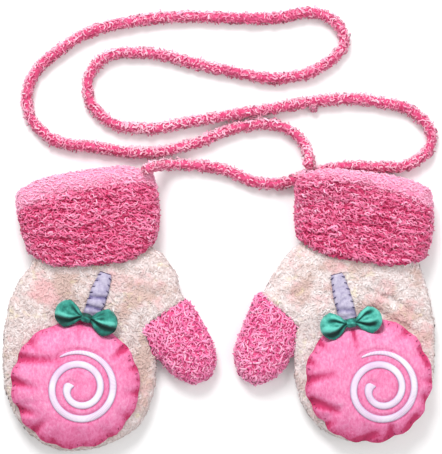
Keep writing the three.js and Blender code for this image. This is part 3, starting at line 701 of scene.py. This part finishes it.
def groundDye(name, deep, pale):
    # the knit between the curls; where it is darker than the curls, as on cuffs and thumbs, that is partly the yarn's
    # own deeper pink and partly painted shade in the gaps
    dye = Dye(name, Roughness=0.95, Sheen_Weight=0.2, Sheen_Roughness=0.6, Specular_IOR_Level=0.15)
    dye.yarn = dye.ramp(dye.noise(520, 3) + dye.attribute("tone") * 0.5, (0.35, deep), (0.75, pale))
    dye.colour(dye.yarn)
    dye.bumped(dye.noise(700, 2), 1, 0.6 * mm)
    return dye


def mottled(dye):
    # the cream yarn changes to rose, beige and a little yellow along its length, less near the outline
    inward = 1 - dye.attribute("outline")
    # the rose and beige attributes bring in the listed spots, which are partly painted shade
    rose = dye.noise(90, 3, 0.65) + dye.attribute("rose") * 0.3
    beige = dye.noise(120, 4, 0.65) + dye.attribute("beige") * 0.3
    yellow = dye.noise(160, 2)
    first = dye.mix(dye.node("ShaderNodeMapRange", {}, [rose, 0.55, 0.75, 0.0, 0.85]) * inward,
                    dye.yarn, tint(226, 176, 178))
    second = dye.mix(dye.node("ShaderNodeMapRange", {}, [beige, 0.54, 0.72, 0.0, 0.85]) * inward,
                     first, tint(201, 172, 163))
    dye.colour(dye.mix(dye.node("ShaderNodeMapRange", {}, [yellow, 0.6, 0.72, 0.0, 0.4]) * inward,
                       second, tint(232, 222, 178)))


shells = {}
for kind, knit in knits.items():
    ground = groundDye(f"{kind}_ground", *knit["ground"])
    yarn = curlDye(f"{kind}_yarn", *knit["curls"])
    if kind == "hand":
        mottled(yarn)
        mottled(ground)
    if kind == "cuff":
        # painted highlight: the ground is painted pale along the cuff's rounded rim
        ground.colour(ground.mix(ground.attribute("rim"), ground.yarn, tint(238, 148, 184)))
    for side in ("left", "right"):
        name = f"{kind}_{side}"
        shell = copyOf(name, f"knit_{name}")
        applied(shell, "REMESH", mode="VOXEL", voxel_size=knit["voxel"] * mm)
        applied(shell, "SMOOTH", factor=0.5, iterations=5)
        applied(shell, "DISPLACE", texture=lumps, texture_coords="LOCAL", strength=knit["lumps"] * mm, mid_level=0.5)
        places = pointsOf(shell)
        deep, fold = foldAt(places, creases[name])
        upper = smoothstep((places[:, 2] / mm - tops["low"]) / (tops["high"] - tops["low"]))
        places[:, 2] += deep * np.where(upper > 0, -upper, 0.5 * (1 - smoothstep(places[:, 2] / mm / tops["low"])))
        pale = np.full(len(places), 0.2)
        if kind == "cuff":
            share, fromRim = cuffShare(side, places)
            groove = (0.5 - 0.5 * rowWave(side, places)) * smoothstep((fromRim - 5) / 5)
            places[:, 2] -= upper * groove * cuffRows["groove"] * mm
            # painted shade: the shell is painted darker in the grooves between the rows
            pale = 0.25 - 0.25 * groove
            store(shell, "rim", rimShare(side, places))
        if kind == "thumb":
            hand = treeOf(shells[f"hand_{side}"])
            for place in places:
                near, normal, _, away = hand.find_nearest(Vector(place))
                outwards = Vector(place) - near
                if away < joint["reach"] * mm and outwards.dot(normal) > 0:
                    place -= np.array(outwards.normalized()) * joint["deep"] * mm * (1 - away / (joint["reach"] * mm))
        places[:, 2] = np.maximum(places[:, 2], 0.02 * mm)
        movePoints(shell, places)
        # painted shade: the shell's tone is darker in the creases and, on cuffs, in the grooves between rows
        store(shell, "tone", pale - 0.2 * fold)
        store(shell, "outline", edgeShare(shell))
        store(shell, "rose", stainAndShadeAt(side, places, "rose"))
        store(shell, "beige", stainAndShadeAt(side, places, "beige"))
        shell.data.shade_smooth()
        rng = np.random.default_rng(7 * len(name) + len(kind))

        def wanted(centres, normals):
            amount = np.where(normals[:, 2] < -0.5, knit["underside"], 1) * knit["density"]
            amount = amount * (1 - 0.55 * foldAt(centres, creases[name])[1])
            if kind == "cuff":
                amount = amount * (1 + 0.28 * rowWave(side, centres))
            return amount

        place, up = scatter(shell, openFaces(shell, [f"{cover}_{side}" for cover in knit["covers"]], 2.4 * mm),
                            wanted, rng)
        outline = 1 - smoothstep((up[:, 2] - 0.2) / 0.6)
        # painted shade: the curls are painted darker in the creases
        tone = knit["tone"] + knit.get("shift", {}).get(side, 0) - 0.35 * foldAt(place, creases[name])[1] + knit["outline"] * outline
        pile = dict(knit["pile"], rows=0)
        if kind == "cuff":
            share, fromRim = cuffShare(side, place)
            rimmed = rimShare(side, place)
            pile["sizes"] = 1 - 0.3 * rimmed
            # painted highlight: the curls along the rim are painted paler; they also darken a little towards the free
            # edge
            tone = tone + 0.75 * rimmed - 0.03 * smoothstep(share)
            # painted shade: curls on a row are painted lighter and those between rows darker
            tone = tone + 0.16 * rowWave(side, place) * smoothstep((fromRim - 5) / 5)
            pile["rows"] = cuffRows[side]["rows"]
        curls = layCurls(f"curls_{name}", place, up, pile, tone, rng, outline=outline,
                         rose=stainAndShadeAt(side, place, "rose"), beige=stainAndShadeAt(side, place, "beige"))
        dressed(shell, ground, knit["slot"], name)
        dressed(curls, yarn, knit["slot"])
        shells[name] = shell
        print(name, "knitted,", len(curls.data.polygons), "triangles of curls")


# ---- puffed patches
patches = {
    "left": {
        "middle": (-71.7, -37.8), "radius": 33.1,
        "folds": [
            {"from": (-103.5, -24), "to": (-79.5, -25.6), "deep": 3.1, "wide": 3.8, "fade": 0.8},
            {"from": (-102.5, -35.6), "to": (-92, -38.8), "deep": 2.6, "wide": 3.2, "fade": 0.8},
            {"from": (-100.5, -49.6), "to": (-90.5, -52), "deep": 2.8, "wide": 3.2, "fade": 0.8},
            {"from": (-92, -60), "to": (-86, -55), "deep": 1.2, "wide": 3, "fade": 0.8},
            {"from": (-82, -69.5), "to": (-83, -63.5), "deep": 0.7, "wide": 3.4, "fade": 0.8},
            {"from": (-52.5, -64), "to": (-56, -61), "deep": 0.6, "wide": 3, "fade": 0.8},
            {"from": (-43.5, -55), "to": (-49, -51), "deep": 1, "wide": 2.8, "fade": 0.8},
            {"from": (-38.8, -42), "to": (-45, -41.5), "deep": 1.2, "wide": 2.8, "fade": 0.8},
            {"from": (-40, -28.5), "to": (-46, -30.5), "deep": 1.2, "wide": 2.6, "fade": 0.8},
            {"from": (-46.6, -19), "to": (-52.5, -24), "deep": 1.8, "wide": 2.8, "fade": 0.7},
            {"from": (-55, -9.6), "to": (-57.5, -15), "deep": 1, "wide": 2.6, "fade": 0.8},
            {"from": (-95.5, -14.5), "to": (-90, -20), "deep": 1, "wide": 3, "fade": 0.8},
            {"from": (-69, -7), "to": (-70, -14), "deep": 0.6, "wide": 3, "fade": 0.8},
        ],
    },
    "right": {
        "middle": (74.5, -35.5), "radius": 32.7,
        "folds": [
            {"from": (43.5, -35.6), "to": (56, -32), "deep": 1.5, "wide": 3.4, "fade": 0.7},
            {"from": (46.5, -45.8), "to": (58.5, -50.2), "deep": 2.6, "wide": 3.6, "fade": 0.55},
            {"from": (52, -58.5), "to": (58, -55.5), "deep": 1.2, "wide": 2.8, "fade": 0.8},
            {"from": (67.5, -66.6), "to": (77.5, -62), "deep": 2, "wide": 3, "fade": 0.5},
            {"from": (84.2, -65.4), "to": (85.6, -58.6), "deep": 2.2, "wide": 2.8, "fade": 0.6},
            {"from": (94, -60), "to": (97.5, -53.6), "deep": 1.5, "wide": 3, "fade": 0.4},
            {"from": (105, -48.2), "to": (101.6, -43), "deep": 2.2, "wide": 2.6, "fade": 0.6},
            {"from": (106.6, -36), "to": (101, -35), "deep": 1, "wide": 2.6, "fade": 0.8},
            {"from": (103.6, -27.6), "to": (99.5, -20), "deep": 1, "wide": 2.4, "fade": 0.3},
            {"from": (94, -10.5), "to": (89, -14), "deep": 1.2, "wide": 2.6, "fade": 0.8},
            {"from": (66.6, -11), "to": (68, -19), "deep": 1.2, "wide": 2, "fade": 0.7},
            {"from": (77, -8), "to": (80, -14), "deep": 0.9, "wide": 2.2, "fade": 0.8},
            {"from": (49, -16), "to": (54, -20), "deep": 1, "wide": 2.8, "fade": 0.8},
            {"from": (43.4, -26), "to": (49, -27), "deep": 1, "wide": 2.6, "fade": 0.8},
        ],
    },
    "voxel": 0.9, "pressure": 4, "mostSwell": 0.5, "frames": 20,
    "pucker": {"count": 34, "deep": 0.35, "from": 0.8},
}
spiral = {
    # a plain spiral of the middle's distance, from a formula
    "left": (-69, -39.2), "right": (80.3, -39.4), "turns": 1.92, "inner": 4.6, "outer": 18.4, "growth": 0.74,
    "start": 151, "width": 3.6, "tall": 0.75, "channel": 0.7, "steps": 220, "first": 0.02, "last": 0.16,
    "bulb": 0.45, "bulbLong": 0.1,
}


def spiralAt(share, side):
    angle = np.radians(spiral["start"] + 360 * spiral["turns"] * share)
    radius = spiral["inner"] + (spiral["outer"] - spiral["inner"]) * share ** spiral["growth"]
    middle = spiral[side]
    return middle[0] + radius * np.cos(angle), middle[1] + radius * np.sin(angle), angle


def spiralNear(side, places):
    # how far each place is from the spiral's line, in millimetres
    lineX, lineY, _ = spiralAt(np.linspace(0, 1, 160), side)
    away = np.full(len(places), 99.0)
    for x, y in zip(lineX, lineY):
        away = np.minimum(away, np.hypot(places[:, 0] / mm - x, places[:, 1] / mm - y))
    return away


def puff(pad):
    # the filling's pressure, with how far a point may move held back
    before = pointsOf(pad)
    cloth = pad.modifiers.new("Cloth", "CLOTH")
    cloth.settings.use_pressure = True
    cloth.settings.uniform_pressure_force = patches["pressure"]
    cloth.settings.effector_weights.gravity = 0
    cloth.point_cache.frame_end = patches["frames"]
    for step in range(1, patches["frames"] + 1):
        bpy.context.scene.frame_set(step)
    after = np.empty(len(before) * 3)
    swollen = pad.evaluated_get(bpy.context.evaluated_depsgraph_get()).data
    swollen.vertices.foreach_get("co", after)
    pad.modifiers.remove(cloth)
    bpy.context.scene.frame_set(1)
    moved = after.reshape(-1, 3) - before
    length = np.linalg.norm(moved, axis=1)[:, None]
    moved *= np.minimum(1, patches["mostSwell"] * mm / np.maximum(length, 1e-9))
    movePoints(pad, before + moved)


plush = Dye("plush", Roughness=0.95, Sheen_Weight=0.12, Sheen_Roughness=0.5, Specular_IOR_Level=0.08)
plush.shader.inputs["Sheen Tint"].default_value = tint(255, 190, 220)
nap = plush.noise(210, 5, 0.7, plush.stretched(78, (1, 0.6, 1)))
fine = plush.noise(900, 3, 0.7, plush.stretched(70, (1, 0.6, 1)))
# the fold attribute darkens the plush: painted shade in the folds, on the lower part, at the rim and beside the spiral
plushTone = plush.attribute("fold") * -0.85 + nap * 0.55 + fine * 0.75 - 0.13
plush.colour(plush.ramp(plushTone, (0.02, tint(192, 58, 104)), (0.28, tint(217, 103, 149)), (0.5, tint(229, 131, 175)),
                        (0.74, tint(239, 166, 201))))
plush.bumped(fine * 0.8 + nap * 0.5, 0.9, 0.6 * mm)

pads = {}
for side in ("left", "right"):
    patch = patches[side]
    pad = copyOf(f"pad_{side}", f"patch_{side}")
    applied(pad, "REMESH", mode="VOXEL", voxel_size=patches["voxel"] * mm)
    applied(pad, "SMOOTH", factor=0.5, iterations=5)
    puff(pad)
    places = pointsOf(pad)
    normals = np.array([point.normal for point in pad.data.vertices])
    upper = smoothstep((normals[:, 2] + 0.2) / 0.6)
    middle = np.array(patch["middle"]) * mm
    offset = places[:, :2] - middle
    share = np.linalg.norm(offset, axis=1) / (patch["radius"] * mm)
    angle = np.arctan2(offset[:, 1], offset[:, 0])
    deep, fold = foldAt(places, patch["folds"])
    pucker = patches["pucker"]
    ripple = np.cos(pucker["count"] * angle + 1.2 * np.sin(3 * angle) + 0.8 * np.sin(7 * angle))
    uneven = 0.5 + 0.5 * np.sin(2.3 * angle + 0.9) * np.sin(5.1 * angle)  # tight in places, nearly flat in others
    rippled = smoothstep((share - pucker["from"]) / (1 - pucker["from"])) * ripple * uneven
    channel = 1 - smoothstep((spiralNear(side, places) - 1.6) / 1.6)
    places[:, 2] -= upper * (deep + pucker["deep"] * mm * (0.5 - 0.5 * rippled) + spiral["channel"] * mm * channel)
    movePoints(pad, places)
    applied(pad, "SMOOTH", factor=0.4, iterations=1)
    pad.data.shade_smooth()
    # painted shade: darker on the lower part and at the rim (shaded), in a ring beside the spiral's sunken channel
    # (stitched), in the folds and in the rim's pucker troughs
    shaded = 0.22 * smoothstep((-offset[:, 1] / mm - 12) / 22) + 0.24 * smoothstep((share - 0.86) / 0.14)
    stitched = 0.22 * channel * (1 - smoothstep(np.abs(spiralNear(side, places) - 2.1) / 0.9))
    store(pad, "fold", np.clip(fold + shaded + stitched + 0.12 * (1 - rippled) * (share > 0.85), 0, 1))
    dressed(pad, plush, "plush", f"pad_{side}")
    pads[side] = pad
print("patches puffed")


# ---- the stitched spirals
satin = Dye("satin_thread", Roughness=0.5, Specular_IOR_Level=0.4, Sheen_Weight=0.1)
satinMap = satin.node("ShaderNodeTexCoord", out="UV")
across = satin.node("ShaderNodeSeparateXYZ", {}, [satinMap], out="Y")
fromMiddle = satin.node("ShaderNodeMath", {"operation": "ABSOLUTE"}, [across * 2 - 1])
threads = satin.node("ShaderNodeTexWave", {"wave_type": "BANDS", "bands_direction": "X"}, {
    "Vector": satinMap, "Scale": 95, "Distortion": 1.5, "Detail": 1,
})
cloudy = satin.noise(120, 3)
# painted shade: the band's sides are painted grey-lilac where it rounds down, spread unevenly by noise
satin.colour(satin.mix(
    satin.node("ShaderNodeMapRange", {}, [fromMiddle + cloudy * 0.5, 0.75, 1.35, 0.0, 1.0]),
    satin.ramp(threads * 0.3 + satin.noise(70, 2) * 0.7, (0.4, tint(212, 174, 208)), (0.49, tint(224, 208, 230)),
               (0.58, tint(240, 234, 243))),
    tint(186, 170, 204)))
satin.bumped(threads, 0.35, 0.12 * mm)

for side in ("left", "right"):
    ground = treeOf(pads[side])
    letGo()
    bpy.ops.mesh.primitive_grid_add(x_subdivisions=spiral["steps"], y_subdivisions=8, size=2)
    band = bpy.context.object
    band.name = f"swirl_band_{side}"
    places = pointsOf(band)
    share = (places[:, 0] + 1) / 2
    aside = -places[:, 1]
    lineX, lineY, turned = spiralAt(share, side)
    narrow = np.minimum(0.55 + 0.45 * np.sqrt(np.clip(share / spiral["first"], 0, 1)),
                        0.12 + 0.88 * np.sqrt(np.clip((1 - share) / spiral["last"], 0, 1)))
    half = spiral["width"] / 2 * narrow * (1 + spiral["bulb"] * (1 - smoothstep(share / spiral["bulbLong"])))
    shaped = np.empty_like(places)
    shaped[:, 0] = (lineX + np.cos(turned) * aside * half) * mm
    shaped[:, 1] = (lineY + np.sin(turned) * aside * half) * mm
    for k, place in enumerate(shaped):
        hit = ground.ray_cast(Vector((place[0], place[1], 0.05)), Vector((0, 0, -1)))[0]
        place[2] = hit.z
    shaped[:, 2] += (0.25 + spiral["tall"] * np.sqrt(np.maximum(0, 1 - aside ** 2)) * np.sqrt(narrow)) * mm
    movePoints(band, shaped)
    applied(band, "SOLIDIFY", thickness=0.5 * mm, offset=-1, use_even_offset=False)
    band.data.shade_smooth()
    dressed(band, satin, "satin_thread", f"swirl_{side}")
print("spirals stitched")


# ---- felt strips
strips = {
    # widths at the top, a third of the way down and at the end, in millimetres
    "left": {"top": (-56.2, 17.6), "end": (-63.4, -3.6), "widths": (6.4, 9, 9.1),
             "wrinkles": [(0.26, 0.25, -0.1), (0.56, 0.85, 0.05), (0.8, 0.8, 0.02), (0.97, 0.5, 0.05)]},
    "right": {"top": (58.5, 17.2), "end": (64.2, -5), "widths": (6.4, 8.8, 9.3),
              "wrinkles": [(0.3, 0.15, 0), (0.58, 0.2, 0.1), (0.8, 0.5, -0.06), (0.95, 0.4, 0)]},
    "flat": (0.01, 0.0245), "widthsAt": (0, 0.42, 1), "lift": 0.8, "puff": 1.35, "thick": 0.55, "wrinkleLength": 0.05, "drawnIn": 0.35, "tapered": 0.35,
}
stitchShape = [(-0.9, 0, -0.1), (-0.5, 0.1, 0.75), (0.4, -0.1, 0.6), (1.1, 0, -0.9)]
stripStitches = {"apart": 3.2, "inside": 0.75, "slant": 25, "strand": 0.32, "size": 0.85}

felt = Dye("felt", Roughness=0.95, Sheen_Weight=0.25, Sheen_Roughness=0.6, Specular_IOR_Level=0.15)
feltFibres = felt.noise(420, 4, 0.7)
# the fold attribute is painted shade: darker in the wrinkles and at the edges
feltTone = feltFibres * 0.9 - felt.attribute("fold") * 0.55 + 0.05
felt.colour(felt.ramp(feltTone, (0.05, tint(104, 94, 138)), (0.32, tint(158, 149, 180)), (0.48, tint(184, 176, 200)),
                      (0.68, tint(206, 200, 217))))
felt.bumped(felt.noise(1300, 3) * 0.6 + feltFibres * 0.4, 0.8, 0.3 * mm)
navy = Dye("navy_thread", Roughness=0.6, Specular_IOR_Level=0.3)
navy.colour(navy.ramp(navy.noise(1500, 2), (0.3, tint(38, 34, 62)), (0.7, tint(92, 80, 130))))
navy.bumped(navy.noise(2500, 2), 0.5, 0.1 * mm)


def stitchSpots(places, ups, directions, size, rng):
    count = len(places)
    ups = np.asarray(ups, float)
    along = np.asarray(directions, float)
    along = along - ups * np.sum(along * ups, axis=1)[:, None]
    along /= np.linalg.norm(along, axis=1)[:, None]
    return {"place": np.asarray(places, float), "up": ups, "along": along, "aside": np.cross(ups, along),
            "size": rng.uniform(0.85, 1.15, count) * size}


def sewn(name, places, ups, directions, strand, size, rng):
    spots = stitchSpots(places, ups, directions, size, rng)
    model = modelCurl(stitchShape, strand / size, 4)
    return joinArrays(name, [model], np.zeros(len(places), int), spots, {"tone": rng.uniform(0, 1, len(places))})


for side in ("left", "right"):
    strip = strips[side]
    ground = treeOf(nodes[f"hand_{side}"])
    letGo()
    bpy.ops.mesh.primitive_grid_add(x_subdivisions=12, y_subdivisions=60, size=2)
    piece = bpy.context.object
    piece.name = f"felt_strip_{side}"
    places = pointsOf(piece)
    aside, share = places[:, 0].copy(), (places[:, 1] + 1) / 2
    top, end = np.array(strip["top"]), np.array(strip["end"])
    run = (end - top) / np.linalg.norm(end - top)
    across = np.array([run[1], -run[0]])
    wrinkled = sum(deep * np.exp(-((share - at - slant * aside) / strips["wrinkleLength"]) ** 2)
                   for at, deep, slant in strip["wrinkles"])
    half = np.interp(share, strips["widthsAt"], strip["widths"]) / 2 - strips["drawnIn"] * wrinkled
    half -= strips["tapered"] * (1 - smoothstep(share / 0.06))
    plan = top + (end - top) * share[:, None] + across * (aside * half)[:, None]
    heights = np.array([ground.ray_cast(Vector((x * mm, y * mm, 0.05)), Vector((0, 0, -1)))[0].z for x, y in plan])
    round_ = 1 - 0.85 * np.abs(aside) ** 3
    shaped = np.column_stack([plan * mm, heights + (strips["lift"] + (strips["puff"] - 1.15 * wrinkled) * round_) * mm])
    movePoints(piece, shaped)
    # painted shade: the felt is painted darker in the wrinkles and where its edges round down
    store(piece, "fold", np.clip(wrinkled * 0.9 + 0.25 * np.abs(aside) ** 4, 0, 1))
    applied(piece, "SOLIDIFY", thickness=strips["thick"] * mm, offset=-1)
    piece.data.shade_smooth()
    dressed(piece, felt, "felt", f"stick_{side}")

    rng = np.random.default_rng(31)
    spots, ways = [], []
    length = np.linalg.norm(end - top)
    for edge in (-1, 1):
        for along in np.arange(1.6, length - 3, stripStitches["apart"]) + rng.uniform(-0.3, 0.3):
            at = along / length
            half = np.interp(at, strips["widthsAt"], strip["widths"]) / 2
            plan = top + run * along + across * edge * (half - stripStitches["inside"])
            slant = math.radians(stripStitches["slant"]) * edge
            way = across * edge * math.cos(slant) + run * math.sin(slant) * edge
            spots.append((plan[0], plan[1], 0))
            ways.append((way[0], way[1], 0))
    for across_ in (-0.62, -0.2, 0.2, 0.62):  # the dark row across the top end
        plan = top - run * 0.15 + across * across_ * strip["widths"][0] / 2
        spots.append((plan[0], plan[1], 0.55))
        ways.append((across[0], across[1], 0))
    spots = np.array(spots)
    cloth = treeOf(piece)
    for spot in spots:
        above = Vector((spot[0] * mm, spot[1] * mm, 0.05))
        below = cloth.ray_cast(above, Vector((0, 0, -1)))[0] or ground.ray_cast(above, Vector((0, 0, -1)))[0]
        spot[2] += below.z / mm
    stitches = sewn(f"strip_stitches_{side}", spots * mm, np.tile([0.0, 0, 1], (len(spots), 1)), ways,
                    stripStitches["strand"], stripStitches["size"], rng)
    dressed(stitches, navy, "felt")
print("felt strips sewn on")


# ---- the stitches round the patches
patchStitches = {"count": 62, "shares": (0.96, 0.945, 0.93, 0.91, 0.89, 0.86), "clear": 0.03, "strand": 0.2, "size": 0.9, "skip": (74, 112)}
rosy = Dye("rosy_thread", Roughness=0.7, Specular_IOR_Level=0.3)
rosy.colour(rosy.ramp(rosy.attribute("tone"), (0.2, tint(132, 34, 74)), (0.8, tint(196, 66, 116))))
rosy.bumped(rosy.noise(2500, 2), 0.5, 0.1 * mm)
for side in ("left", "right"):
    rng = np.random.default_rng(53)
    ground = treeOf(pads[side])
    patch = patches[side]
    spots, ups, ways = [], [], []
    for step in range(patchStitches["count"]):
        turn = 360 * (step + rng.uniform(-0.25, 0.25)) / patchStitches["count"]
        if patchStitches["skip"][0] < turn < patchStitches["skip"][1]:
            continue
        out = np.array([math.cos(math.radians(turn)), math.sin(math.radians(turn))])
        for share in patchStitches["shares"]:
            hits = [ground.ray_cast(Vector((*(np.array(patch["middle"]) + out * patch["radius"] * at) * mm, 0.05)),
                                    Vector((0, 0, -1)))[:2] for at in (share, share + patchStitches["clear"])]
            place, normal = hits[0]
            if None not in (place, hits[1][0]) and hits[1][1].z > 0.1 and normal.z > 0.25:
                break
        if place is None:
            continue
        slant = math.radians(turn + rng.normal(0, 18))
        spots.append(place)
        ups.append(normal)
        ways.append((math.cos(slant), math.sin(slant), 0))
    stitches = sewn(f"patch_stitches_{side}", spots, ups, ways, patchStitches["strand"], patchStitches["size"], rng)
    dressed(stitches, rosy, "plush")
print("patches sewn on")


# ---- bows
bows = {
    "left": {"place": (-65.8, -4.3), "turn": -14, "size": 0.98, "shade": 0.16, "creases": [
        # loop is -1 left or 1 right; at is across the strip at the loop's end, from -1 low to 1 high
        {"loop": -1, "at": -0.5, "deep": 2.6, "wide": 0.24, "reach": 17.5},
        {"loop": -1, "at": 0.0, "deep": 0.7, "wide": 0.2, "reach": 12},
        {"loop": -1, "at": 0.62, "deep": 1.3, "wide": 0.2, "reach": 10},
        {"loop": 1, "at": -0.36, "deep": 2.6, "wide": 0.24, "reach": 17.5},
        {"loop": 1, "at": 0.2, "deep": 0.9, "wide": 0.2, "reach": 11},
        {"loop": 1, "at": 0.68, "deep": 0.7, "wide": 0.18, "reach": 9},
    ]},
    "right": {"place": (65.5, -6.8), "turn": 10, "size": 0.96, "shade": -0.03, "creases": [
        {"loop": -1, "at": 0.4, "deep": 1.7, "wide": 0.2, "reach": 13},
        {"loop": -1, "at": -0.08, "deep": 0.8, "wide": 0.18, "reach": 11},
        {"loop": -1, "at": -0.62, "deep": 2.3, "wide": 0.28, "reach": 17},
        {"loop": 1, "at": 0.55, "deep": 1.5, "wide": 0.2, "reach": 14},
        {"loop": 1, "at": 0.1, "deep": 0.8, "wide": 0.18, "reach": 13},
        {"loop": 1, "at": -0.34, "deep": 2.3, "wide": 0.22, "reach": 15},
    ]},
    "out": [0, 3, 5, 8, 11.3, 14, 15.6], "rise": [0.75, 0.85, 1.9, 2.9, 3.2, 2.9, 2.5],
    "half": [1.3, 1.9, 4.4, 6.3, 7.1, 7.1, 6.6], "end": 16.2, "rounded": 4.2, "height": 18.9, "thick": 0.45,
    "quarter": 26, "below": 0.8, "knot": 0.86, "flat": (0.0125, 0.0645),
}
ribbon = Dye("ribbon", Roughness=0.7, Sheen_Weight=0.2, Sheen_Roughness=0.5, Specular_IOR_Level=0.25)
ribbonMap = ribbon.node("ShaderNodeTexCoord", out="UV")
warp = ribbon.node("ShaderNodeTexWave", {"bands_direction": "X"}, {"Vector": ribbonMap, "Scale": 55, "Distortion": 0.6})
weft = ribbon.node("ShaderNodeTexWave", {"bands_direction": "Y"}, {"Vector": ribbonMap, "Scale": 14, "Distortion": 0.6})
weave = warp * 0.5 + weft * 0.5
# the fold attribute paints shade and highlight into the ribbon's colour
ribbonTone = ribbon.noise(230, 4, 0.65) * 0.95 + weave * 0.14 - ribbon.attribute("fold") * 0.85
ribbon.colour(ribbon.ramp(ribbonTone, (0.0, tint(6, 50, 46)), (0.26, tint(18, 98, 88)), (0.46, tint(46, 142, 128)),
                          (0.7, tint(98, 198, 182))))
ribbon.bumped(weave * 0.12 + ribbon.noise(330, 4, 0.7) * 0.88, 0.8, 0.55 * mm)


def placedBow(points, bow):
    turn = math.radians(bow["turn"])
    x, y = points[:, 0] * bow["size"], points[:, 1] * bow["size"]
    return np.column_stack([
        bow["place"][0] + x * math.cos(turn) - y * math.sin(turn),
        bow["place"][1] + x * math.sin(turn) + y * math.cos(turn),
        bows["height"] + points[:, 2],
    ]) * mm


for side in ("left", "right"):
    bow = bows[side]
    letGo()
    bpy.ops.mesh.primitive_grid_add(x_subdivisions=4 * bows["quarter"], y_subdivisions=24, size=2)
    piece = bpy.context.object
    piece.name = f"bow_loops_{side}"
    places = pointsOf(piece)
    # once round the strip: out on top to the right, back below, out below to the left and back on top
    round_ = (places[:, 0] + 1) * 2
    v = places[:, 1].copy()
    quarter = np.clip(np.floor(round_), 0, 3)
    part = round_ - quarter
    outwards = np.where((quarter == 0) | (quarter == 2), part, 1 - part)
    loop = np.where(quarter < 2, 1, -1)
    layer = np.where((quarter == 0) | (quarter == 3), 1, -1)
    out = bows["end"] * np.sin(outwards * math.pi / 2)
    rise = np.interp(out, bows["out"], bows["rise"]) * np.sqrt(np.clip(1 - ((out - 13) / (bows["end"] - 13)) ** 2
                                                                       * (out > 13), 0, 1))
    half = np.interp(out, bows["out"], bows["half"])
    crown = 1 - 0.5 * np.abs(v) ** 2.6
    deep = np.zeros(len(v))
    shade = np.zeros(len(v))
    ridge = np.zeros(len(v))
    for crease in bow["creases"]:
        line = crease["at"] * smoothstep(out / 9)
        away = (v - line) / (crease["wide"] * (0.75 + 0.35 * out / bows["end"]))
        fade = smoothstep((out - 1.8) / 2.2) * (1 - smoothstep((out - crease["reach"] + 5) / 6)) * (loop == crease["loop"])
        # the cloth drops sharply below the crease's upper lip and rises slowly on its other side
        here = np.exp(-np.where(away > 0, away * 1.5, away * 0.8) ** 2) * fade
        deep = np.maximum(deep, here * crease["deep"])
        shade = np.maximum(shade, np.exp(-(away * 1.5) ** 2) * fade * crease["deep"] / 2.4)
        ridge = np.maximum(ridge, np.exp(-((away - 1.5) / 0.7) ** 2) * fade * crease["deep"] / 2.4)
    z = layer * (rise * crown * np.where(layer > 0, 1, bows["below"]) - (deep - 0.5 * ridge) * np.where(layer > 0, 1, 0.4))
    x = loop * (out - bows["rounded"] * np.abs(v) ** 2.5 * smoothstep((out - 7) / (bows["end"] - 7)))
    shaped = placedBow(np.column_stack([x, v * half, z]), bow)
    movePoints(piece, shaped)
    # painted shade in the creases, near the knot, towards the lower edge and on the lower layer, and a painted
    # highlight on the ridge beside each crease; the bow's shade value darkens or lightens the whole bow
    store(piece, "fold", np.where(layer > 0, shade - 0.35 * ridge + 0.25 * (1 - smoothstep((out - 2) / 3))
                                  + 0.25 * smoothstep((-v - 0.3) / 0.6), 0.5) + bow["shade"])
    pick(piece)
    bpy.ops.object.mode_set(mode="EDIT")
    bpy.ops.mesh.select_all(action="SELECT")
    bpy.ops.mesh.remove_doubles(threshold=0.01 * mm)
    bpy.ops.object.mode_set(mode="OBJECT")
    applied(piece, "SMOOTH", factor=0.5, iterations=2)
    applied(piece, "SOLIDIFY", thickness=bows["thick"] * mm, offset=-1)
    piece.data.shade_smooth()
    dressed(piece, ribbon, "ribbon", f"bow_{side}")

    knot = copyOf(f"knot_{side}", f"bow_knot_{side}")
    applied(knot, "SUBSURF", levels=2, render_levels=2)
    places = pointsOf(knot)
    turn = math.radians(bow["turn"])
    offset = places / mm - np.array([*bow["place"], bows["height"]])
    x = offset[:, 0] * math.cos(turn) + offset[:, 1] * math.sin(turn)
    y = -offset[:, 0] * math.sin(turn) + offset[:, 1] * math.cos(turn)
    pleat = (0.13 * np.cos(2.6 * y + 0.5 * x) + 0.1 * np.sin(1.7 * x + 1.1 * y)) * (offset[:, 2] > 0)
    middle = places.mean(axis=0)
    places[:, :2] = middle[:2] + (places[:, :2] - middle[:2]) * bows["knot"]
    places[:, 2] += pleat * mm * 0.7
    movePoints(knot, places)
    # painted shade in the pleat troughs and at the knot's sides, painted highlight on the pleat crests
    store(knot, "fold", bow["shade"] + 0.12 - pleat * 0.9 + 0.3 * smoothstep((np.abs(y) - 1.4) / 1.2))
    knot.data.shade_smooth()
    dressed(knot, ribbon, "ribbon", f"knot_{side}")
print("bows tied")

total = 0
for piece in bpy.context.scene.objects:
    if piece.type == "MESH" and not piece.hide_render and piece.name != "floor":
        piece.data.calc_loop_triangles()
        total += len(piece.data.loop_triangles)
print(total, "triangles in the meshes")
